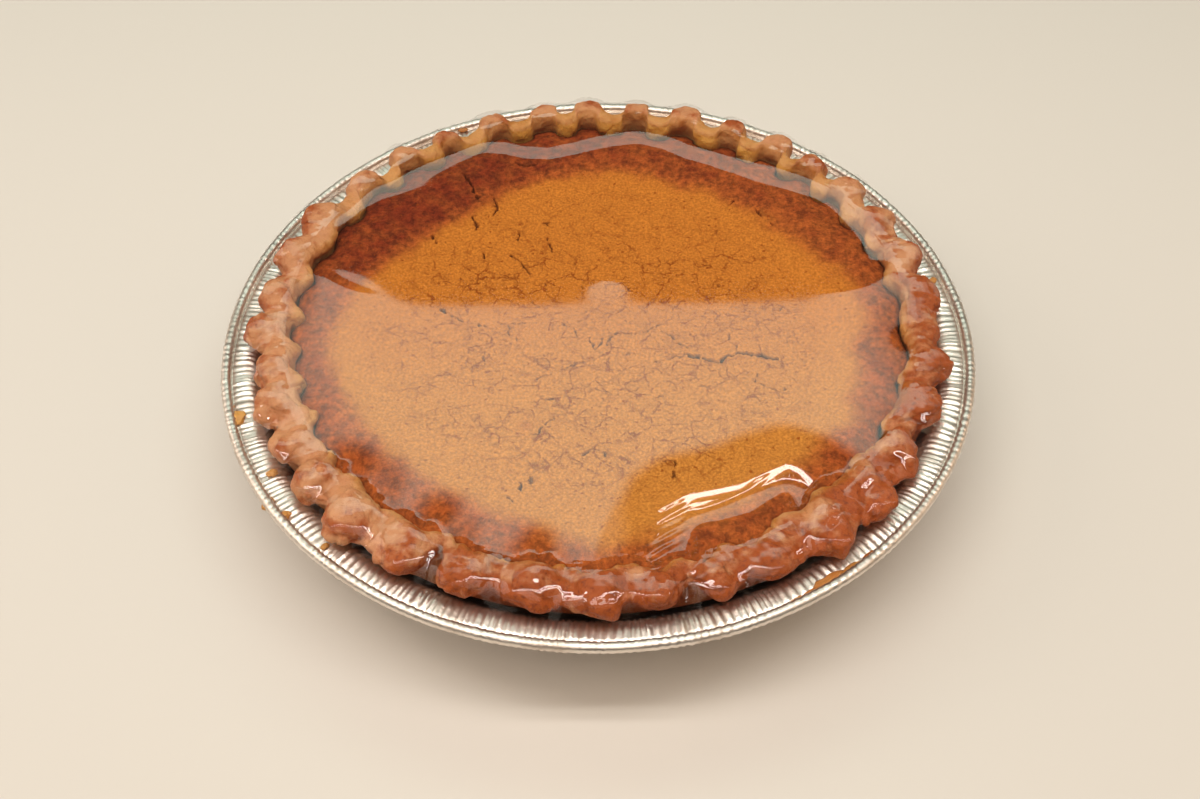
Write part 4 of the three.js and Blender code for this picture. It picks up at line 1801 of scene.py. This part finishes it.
@dataclass
class Studio:
    """A plain pale floor, soft lamps overhead and the camera at the photograph's angle."""

    floor_size: float = 6.0
    floor_mm: float = -0.3  # a hair below the tin, in millimetres
    aim: tuple[float, float, float] = (0.0, 0.0, 0.04)
    ambient: float = 0.07
    ambient_colour: str = "fff0de"
    camera_place: tuple[float, float, float] = (0.0005, -0.2842, 0.3205)
    pitch: float = 48.82
    roll: float = 0.51
    lens: float = 36.6
    lamps: tuple[Lamp, ...] = (
        Lamp("ceiling_box", (0.0, 0.665, 1.0), (1.7, 0.625), 1.6, "e6fff0", Facing.DOWN),
        Lamp("front_box", (-0.15, -0.55, 1.05), (1.2, 0.7), 1.65, "ffeedd", Facing.PIE),
        Lamp("left_box", (-1.3, 0.15, 0.75), (1.2, 0.9), 1.55, "ffeedd", Facing.PIE),
        Lamp("right_box", (1.3, 0.0, 0.75), (1.2, 0.9), 0.85, "ffdcb8", Facing.PIE),
        Lamp("tube_front", (0.0, -0.155, 1.0), (1.5, 0.055), 11.0, "fff8ee", Facing.DOWN),
        Lamp("tube_back", (0.0, -0.04, 1.0), (1.5, 0.055), 11.0, "fffaf4", Facing.DOWN),
    )
    faded: str = "ceiling_box"  # its light falls off towards its sides and its front edge
    floor_finish: PaleFloor = PaleFloor()

    def light(self, lamp: Lamp) -> None:
        """Hangs one lamp.

        Args:
            lamp: The lamp's place, size and light.
        """
        data = bpy.data.lights.new(lamp.name, "AREA")
        data.shape = "RECTANGLE"
        data.size, data.size_y = lamp.size
        data.energy = 4.0 * lamp.size[0] * lamp.size[1] * lamp.radiance
        data.color = linear(lamp.colour)[:3]
        if lamp.name == self.faded:
            self.fade(data)
        hung = bpy.data.objects.new(lamp.name, data)
        hung.location = lamp.place
        if lamp.facing is Facing.PIE:
            away = Vector(lamp.place) - Vector(self.aim)
            hung.rotation_euler = away.to_track_quat("Z", "Y").to_euler()
        hung.visible_camera = False
        bpy.context.scene.collection.objects.link(hung)

    def fade(self, data: bpy.types.AreaLight) -> None:
        """Dims a soft box towards its sides and its front edge.

        Args:
            data: The lamp.
        """
        data.use_nodes = True
        data.node_tree.nodes.clear()
        add = partial(add_node, data.node_tree)
        place = add("NewGeometry").outputs["Parametric"]
        split = add("SeparateXYZ", inputs={"Vector": place})
        aside = add("Math", {"operation": "SUBTRACT"}, {0: split.outputs["X"], 1: 0.5})
        away = add("Math", {"operation": "ABSOLUTE"}, {0: aside})
        sides = add("MapRange", SMOOTH, {
            "Value": away, "From Min": 0.15, "From Max": 0.27, "To Min": 1.0, "To Max": 0.42})
        front = add("MapRange", SMOOTH, {
            "Value": split.outputs["Y"], "From Min": 0.0, "From Max": 0.36})
        both = add("Math", TIMES, {0: sides, 1: front})
        glow = add("Emission", inputs={"Strength": both})
        add("OutputLight", inputs={"Surface": glow})

    def build(self) -> None:
        """Lays the floor, hangs the lamps and places the camera."""
        deselect_all()
        bpy.ops.mesh.primitive_plane_add(size=self.floor_size, location=(0.0, 0.0, 0.0))
        floor = name_piece("studio_floor")
        points = read_points(floor)
        points[:, 2] = self.floor_mm
        write_points(floor, points)
        floor.data.materials.append(self.floor_finish.material())
        for lamp in self.lamps:
            self.light(lamp)
        world = bpy.data.worlds.new("studio_world")
        world.use_nodes = True
        world.node_tree.nodes["Background"].inputs["Color"].default_value = linear(
            self.ambient_colour)
        world.node_tree.nodes["Background"].inputs["Strength"].default_value = self.ambient
        bpy.context.scene.world = world
        bpy.context.scene.view_settings.view_transform = "Standard"
        self.place_camera()

    def place_camera(self) -> None:
        """Places the camera at the photograph's angle."""
        data = bpy.data.cameras.new("camera")
        data.sensor_width = 36.0
        data.lens = self.lens
        camera = bpy.data.objects.new("camera", data)
        camera.location = self.camera_place
        tilt = Matrix.Rotation(math.pi / 2.0 - math.radians(self.pitch), 4, "X")
        camera.rotation_euler = (
            tilt @ Matrix.Rotation(-math.radians(self.roll), 4, "Z")).to_euler()
        bpy.context.scene.collection.objects.link(camera)
        bpy.context.scene.camera = camera


# ---- Assembly -----------------------------------------------------------------------------


def report(piece: bpy.types.Object) -> None:
    """Logs a piece's name and how many triangles it has."""
    triangles = sum(len(face.vertices) - 2 for face in piece.data.polygons)
    log.info("%s: %d triangles", piece.name, triangles)


def main() -> None:
    """Builds the pie, its tin, its film and the studio."""
    logging.basicConfig(level=logging.INFO, format="%(message)s")
    Studio().build()
    rim = RimPlan()
    tin = FoilTin().build()
    crust = CrimpedCrust(rim).build()
    filling = CustardFilling(rim).build()
    film = ClearFilm(rim).build([tin, crust])
    for piece in (tin, crust, filling, film, FoilCrumbs().build()):
        report(piece)


if __name__ == "__main__":
    main()
